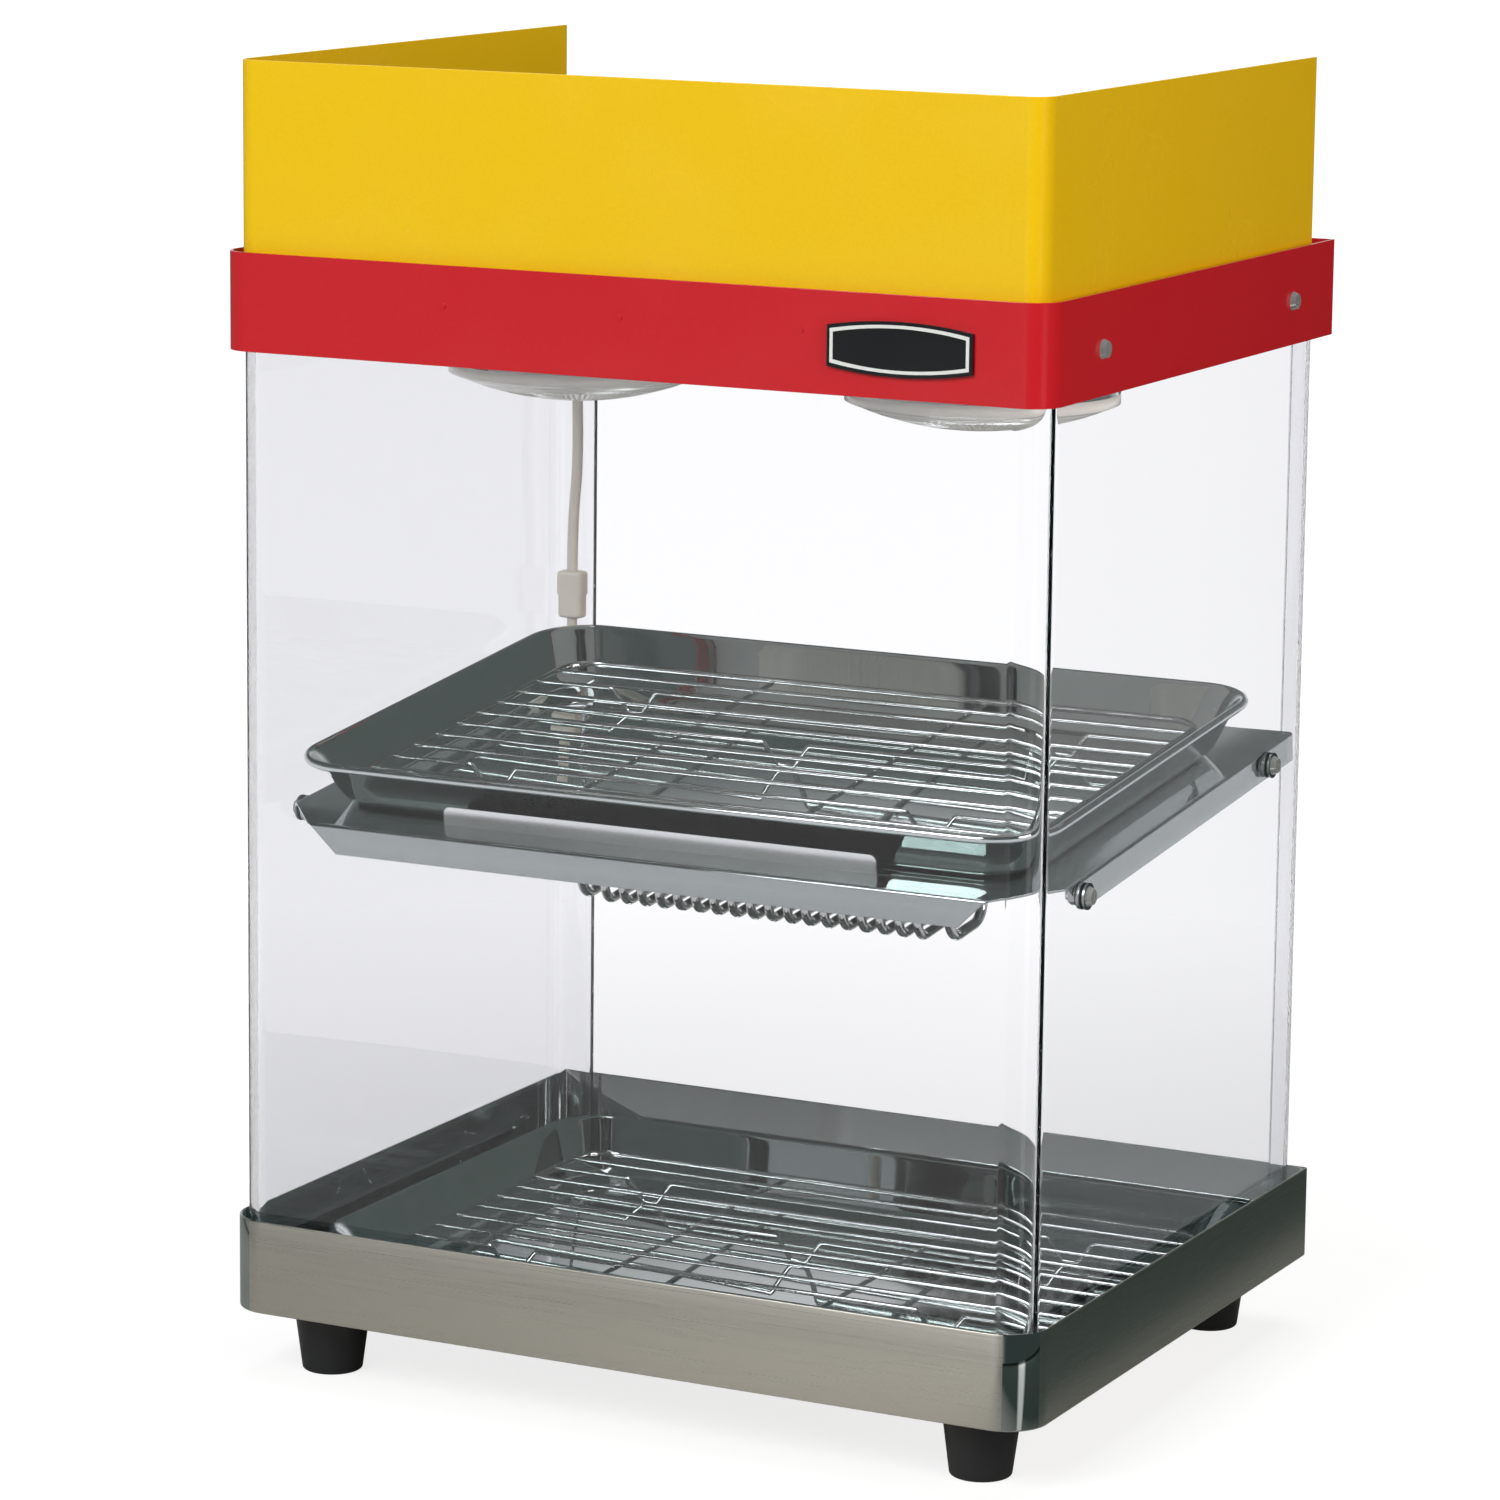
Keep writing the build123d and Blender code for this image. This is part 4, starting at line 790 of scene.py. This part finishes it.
# Racks: a frame loop, rows of thin wire, two cross wires and five legs pressed down
rackShape = {
    "halfX": 168.0,
    "depth": 220.0,
    "rows": 12,
    "top": 13.0,
    "frameD": 3.2,
    "wireD": 2.2,
    "corner": 16.0,
    "crossX": 57.0,
    "legX": 112.0,
    "legTop": 12.0,
    "legFoot": 4.0,
    "legRows": (2, 9),
    "middleRow": 6,
    "floor": 1.0,
}


def makeRack(name, spec, place):
    halfY = spec["depth"] / 2
    edge = spec["halfX"] - spec["frameD"] / 2
    wireZ = spec["top"] - spec["wireD"] / 2 + spec["floor"]
    footZ = 0.3 + spec["wireD"] / 2 + spec["floor"]
    frameZ = spec["top"] - spec["frameD"] / 2 + spec["floor"]

    def put(points):
        return [place @ (Vector(p) * mm) for p in points]

    outline = roundOutline(edge, -halfY, halfY, spec["corner"], spec["corner"], 8)
    frameRun = put([(x, y, frameZ) for x, y in outline]), True
    loop = wireMesh(name + "_frame", [frameRun], spec["frameD"] * mm / 2, "wire")
    runs = []
    for row in range(1, spec["rows"] - 1):
        y = -halfY + row * spec["depth"] / (spec["rows"] - 1)
        legs = [-spec["legX"], spec["legX"]] if row in spec["legRows"] else []
        if row == spec["middleRow"]:
            legs = [0.0]
        points = [(-edge, y, wireZ)]
        for x in legs:
            points += [
                (x - spec["legTop"], y, wireZ),
                (x - spec["legFoot"], y, footZ),
                (x + spec["legFoot"], y, footZ),
                (x + spec["legTop"], y, wireZ),
            ]
        points.append((edge, y, wireZ))
        runs.append((put(roundedRun(points, 2.2, 4)), False))
    crossZ = wireZ - spec["wireD"] * 0.85
    for x in (-spec["crossX"], spec["crossX"]):
        runs.append((put([(x, -halfY, crossZ), (x, halfY, crossZ)]), False))
    wires = wireMesh(name + "_wires", runs, spec["wireD"] * mm / 2, "wire", 10)
    return joined(name, [loop, wires])


for word, place in trayPlaces.items():
    rack = makeRack(f"{word}_rack_wires", rackShape, place)
    finishPiece(rack, "wire", f"{word}_rack", "rack_wire", f"{word}_rack")
print("racks made")

# Guard under the heater: a row of bent rods and one larger loop at each end
guardShape = {
    "y": -4.0,
    "rodD": 4.5,
    "pitch": 9.6,
    "count": 18,
    "half": 22.0,
    "bend": 8.0,
    "bottom": 63.5,
    "top": 24.0,
    "loopD": 5.0,
    "loopX": 96.0,
    "loopHalf": 18.5,
    "loopBend": 10.0,
    "loopTop": 2.6,
}


def makeGuard(spec):
    def run(x, half, bend, top):  # one U, down, across and up again
        corners = [(x, spec["y"] - half, -top), (x, spec["y"] - half, -spec["bottom"])]
        corners += [(x, spec["y"] + half, -spec["bottom"]), (x, spec["y"] + half, -top)]
        return [shelfPlace @ (p * mm) for p in roundedRun(corners, bend, 8)], False

    first = -spec["pitch"] * (spec["count"] - 1) / 2
    places = [first + n * spec["pitch"] for n in range(spec["count"])]
    rods = [run(x, spec["half"], spec["bend"], spec["top"]) for x in places]
    ends = (-spec["loopX"], spec["loopX"])
    loops = [run(x, spec["loopHalf"], spec["loopBend"], spec["loopTop"]) for x in ends]
    return joined(
        "guard_bent_rods",
        [
            wireMesh("guardRods", rods, spec["rodD"] * mm / 2, "wire", 14),
            wireMesh("guardLoops", loops, spec["loopD"] * mm / 2, "wire", 14),
        ],
    )


finishPiece(makeGuard(guardShape), "wire", "case", "rack_wire", "guard_rods")
print("guard made")

# Lamp lenses: shallow dome with pressed rings and flutes
lampLens = {
    "x": 103.0,
    "y": -10.0,
    "bottom": 449.2,
    "radius": 61.0,
    "rise": 13.0,
    "rim": 5.0,
    "wall": 2.5,
    "rings": 44,
    "spokes": 480,
    "ringPitch": 5.6,
    "ringDepth": 0.5,
    "fluteCount": 96,
    "fluteDepth": 0.9,
    "fluteFrom": 0.5,
    "fluteTo": 0.8,
}


def makeLens(name, side, spec):
    bowl = (spec["radius"] ** 2 + spec["rise"] ** 2) / (2 * spec["rise"])
    verts, faces = [(side * spec["x"] * mm, spec["y"] * mm, spec["bottom"] * mm)], []
    for ring in range(1, spec["rings"] + 1):
        r = spec["radius"] * ring / spec["rings"]
        for n in range(spec["spokes"]):
            a = 2 * math.pi * n / spec["spokes"]
            fade = min(1.0, r / 12, (spec["radius"] - r) / 3)
            pressed = spec["ringDepth"] * (0.5 + 0.5 * math.cos(2 * math.pi * r / spec["ringPitch"]))
            share = (r / spec["radius"] - spec["fluteFrom"]) / (spec["fluteTo"] - spec["fluteFrom"])
            if 0.0 < share < 1.0:
                wave = 0.5 + 0.5 * math.cos(spec["fluteCount"] * a)
                pressed = spec["fluteDepth"] * math.sin(math.pi * share) * wave
            z = spec["bottom"] + bowl - math.sqrt(bowl**2 - r**2) + pressed * max(fade, 0.0)
            x, y = side * spec["x"] + r * math.cos(a), spec["y"] + r * math.sin(a)
            verts.append((x * mm, y * mm, z * mm))
    count = spec["spokes"]
    for n in range(count):
        faces.append((0, 1 + (n + 1) % count, 1 + n))
    for ring in range(spec["rings"] - 1):
        for n in range(count):
            a, b = 1 + ring * count + n, 1 + ring * count + (n + 1) % count
            faces.append((a, b, b + count, a + count))
    top = len(verts)
    outer = 1 + (spec["rings"] - 1) * count
    for n in range(count):
        x, y, z = verts[outer + n]
        verts.append((x, y, z + spec["rim"] * mm))
    for n in range(count):
        faces.append((outer + n, outer + (n + 1) % count, top + (n + 1) % count, top + n))
    lens = meshFrom(name, verts, faces)
    if sum(f.normal.z for f in lens.data.polygons) > 0:
        lens.data.flip_normals()
    wall = lens.modifiers.new("wall", "SOLIDIFY")
    wall.thickness = spec["wall"] * mm
    wall.offset = -1.0
    return lens


for side, word in ((-1, "left"), (1, "right")):
    lens = makeLens(f"lamp_lens_{word}_glass", side, lampLens)
    finishPiece(lens, "lens", "case", "lens_glass", f"lamp_lens_{word}")
print("lenses made")

# CAD nodes that keep their shape get their finish by material slot
slotFinish = {
    "brushed_stainless": "brushed",
    "polished_stainless": "polished",
    "clear_sheet": "clear",
    "red_paint": "red",
    "yellow_paint": "yellow",
    "badge_black": "badge",
    "chrome": "chrome",
    "black_rubber": "rubber",
    "tray_steel": "tray",
    "rack_wire": "wire",
    "zinc_steel": "zinc",
    "element_steel": "element",
    "ceramic": "ceramic",
    "lens_glass": "lens",
    "reflector": "mirror",
    "cap_brass": "brass",
    "black_plastic": "plastic",
    "grey_cable": "cable",
}
ownFinish = {"badge_rim": "print", "band_rivets": "red", "tray_stop": "trim", "ceiling_panel": "enamel"}
for part in frame["record"]["subparts"]:
    node = frame["nodes"][part["node"]]
    node.data.materials.clear()
    finish = ownFinish.get(part["node"], slotFinish[part["material_slot"]])
    node.data.materials.append(finishes[finish])
print("carried nodes finished")

# Floor, world and lamps
studio = {
    "floorHalf": 30.0,
    "floorColour": "#F4F4F4",
    # painted reflection and shade: the floor tones below are seen only by reflections and bounced light,
    # never by the camera
    "mirroredFloor": (0.42, 0.42, 0.4, 1.0),  # what metal sees of the floor, left, middle and right
    "mirroredRight": (0.68, 0.67, 0.65, 1.0),
    "darkSide": (0.068, 0.092, 0.085, 1.0),
    "middleAcross": (-0.32, 0.02),  # where one of those tones turns into the next, m
    "rightAcross": (0.14, 0.28),
    # painted highlight: this bright ray is painted on the floor for reflections only
    "rayFrom": (0.205, -0.165, 0.0),  # a bright ray on the floor that the front right corner mirrors
    "rayAlong": (0.894, -0.447, 0.0),
    "raySpread": (0.982, 0.9965),
    "pipedLight": 0.45,  # share of white that deep reflections see
    "fade": (0.35, 1.0),
    "glow": 1.14,
    "white": (1.0, 1.0, 1.0, 1.0),
    "frontGrey": (0.38, 0.38, 0.36, 1.0),
    "frontPale": (0.7, 0.69, 0.67, 1.0),
    "frontAcross": ("X", -0.5, -0.3),  # where the world's tones turn, by direction
    "frontRise": ("Z", 0.12, 0.45),
    "backRise": ("Z", 0.12, 0.4),
    "toBack": ("Y", 0.0, 0.3),
    "toRight": ("X", 0.12, 0.4),
    "ambient": 1.1,
    "lamps": [  # name, place, size, watts, seen in metal, tint
        ("keyLamp", (-0.75, -2.9, 2.42), 1.6, 93.0, True, (1.0, 1.0, 1.0)),
        ("fillLamp", (2.5, -0.6, 1.2), 1.3, 42.0, False, (1.0, 0.88, 0.84)),
        ("topLamp", (0.0, 0.6, 2.9), 1.8, 34.0, False, (1.0, 1.0, 1.0)),
    ],
    "aim": (0.0, 0.0, 0.3),
}


def pathShares(tree, spec):  # light paths, the share that looks through glass, and deep reflections' light
    paths = addNode(tree, "ShaderNodeLightPath").outputs
    passed = calc(tree, "MAXIMUM", paths["Is Camera Ray"], paths["Is Transmission Ray"])
    deep = calc(tree, "GREATER_THAN", paths["Glossy Depth"], mirrorDepth)
    return paths, passed, calc(tree, "MULTIPLY", deep, spec["pipedLight"])


# White paper under the case. Away from it the camera sees plain white, and metal sees a grey floor. The tones
# that reflections and bounced light see are painted reflection and painted shade: grey, paler towards the
# middle, dark to the right, with a bright ray painted in as a highlight
def makeFloor(spec):
    half = spec["floorHalf"]
    corners = [(-half, -half, 0), (half, -half, 0), (half, half, 0), (-half, half, 0)]
    floor = meshFrom("studioFloor", corners, [(0, 1, 2, 3)], False)
    material, tree, shader = startMaterial("floorPaper", Roughness=0.9)
    shader.inputs["Specular IOR Level"].default_value = 0.0
    paths, passed, piped = pathShares(tree, spec)
    where = addNode(tree, "ShaderNodeTexCoord").outputs["Object"]
    across = addNode(tree, "ShaderNodeSeparateXYZ", {0: where}).outputs["X"]
    toMiddle = ramp(tree, across, *spec["middleAcross"])
    toRight = ramp(tree, across, *spec["rightAcross"])
    # painted reflection and shade: grey floor, paler in the middle and dark to the right, for reflections and
    # bounced light only
    ahead = mixColours(tree, toMiddle, spec["mirroredFloor"], spec["mirroredRight"])
    mirrored = mixColours(tree, toRight, ahead, spec["darkSide"])
    away = calcVector(tree, "SUBTRACT", where, spec["rayFrom"])[0]
    unit = addNode(tree, "ShaderNodeVectorMath", {0: away}, operation="NORMALIZE").outputs[0]
    along = calcVector(tree, "DOT_PRODUCT", unit, spec["rayAlong"])["Value"]
    # painted highlight: a bright ray painted on the floor, which the front right corner of the base mirrors
    # as its bright band
    lit = mixColours(tree, ramp(tree, along, *spec["raySpread"]), mirrored, spec["white"])
    indirect = calc(tree, "MAXIMUM", paths["Is Glossy Ray"], paths["Is Diffuse Ray"])
    colour = mixColours(tree, indirect, hexColour(spec["floorColour"]), lit)
    tree.links.new(colour, shader.inputs["Base Color"])
    reach = addNode(tree, "ShaderNodeVectorMath", {0: where}, operation="LENGTH").outputs["Value"]
    share = ramp(tree, reach, *spec["fade"], 0.7, 1.0)
    seen = calc(tree, "MAXIMUM", passed, piped)
    factor = calc(tree, "MULTIPLY", share, seen)
    glow = addNode(tree, "ShaderNodeEmission", {"Color": spec["white"], "Strength": spec["glow"]})
    paper = mixShaders(tree, factor, shader.outputs[0], glow.outputs[0])
    under = addNode(tree, "ShaderNodeNewGeometry").outputs["Backfacing"]
    hidden = addNode(tree, "ShaderNodeBsdfTransparent")  # seen from below, the floor isn't there
    mixed = mixShaders(tree, under, paper, hidden.outputs[0])
    tree.links.new(mixed, tree.nodes["Material Output"].inputs["Surface"])
    floor.data.materials.append(material)


# White for what the camera sees and through glass. Reflections see it pale behind and dark to the right
def makeWorld(spec):
    world = bpy.data.worlds.new("studioWorld")
    bpy.context.scene.world = world
    world.use_nodes = True
    tree = world.node_tree
    tree.nodes.clear()
    around = addNode(tree, "ShaderNodeTexCoord").outputs["Generated"]
    way = addNode(tree, "ShaderNodeSeparateXYZ", {0: around}).outputs

    def turn(name):
        axis, low, high = spec[name]
        return ramp(tree, way[axis], low, high, interpolation_type="SMOOTHSTEP")

    low = mixColours(tree, turn("frontAcross"), spec["frontGrey"], spec["frontPale"])
    front = mixColours(tree, turn("frontRise"), low, spec["darkSide"])
    back = mixColours(tree, turn("backRise"), spec["white"], spec["darkSide"])
    both = mixColours(tree, turn("toBack"), front, back)
    reflected = mixColours(tree, turn("toRight"), both, spec["darkSide"])
    paths, passed, piped = pathShares(tree, spec)
    direct = calc(tree, "LESS_THAN", paths["Glossy Depth"], 0.5)
    looking = calc(tree, "MAXIMUM", calc(tree, "MULTIPLY", passed, direct), piped)
    shown = calc(tree, "MAXIMUM", passed, paths["Is Glossy Ray"])
    seen = mixColours(tree, looking, reflected, spec["white"])
    power = ramp(tree, shown, 0.0, 1.0, spec["ambient"], 1.0)
    background = addNode(tree, "ShaderNodeBackground", {"Color": seen, "Strength": power})
    output = addNode(tree, "ShaderNodeOutputWorld")
    tree.links.new(background.outputs[0], output.inputs["Surface"])


def makeLamps(spec):
    for name, place, size, watts, mirrored, tint in spec["lamps"]:
        data = bpy.data.lights.new(name, "AREA")
        data.size = size
        data.energy = watts
        data.color = tint
        lamp = bpy.data.objects.new(name, data)
        lamp.location = place
        lamp.visible_glossy = mirrored
        lamp.rotation_euler = (Vector(spec["aim"]) - Vector(place)).to_track_quat("-Z", "Y").to_euler()
        bpy.context.collection.objects.link(lamp)


makeFloor(studio)
makeWorld(studio)
makeLamps(studio)
print("studio lit")
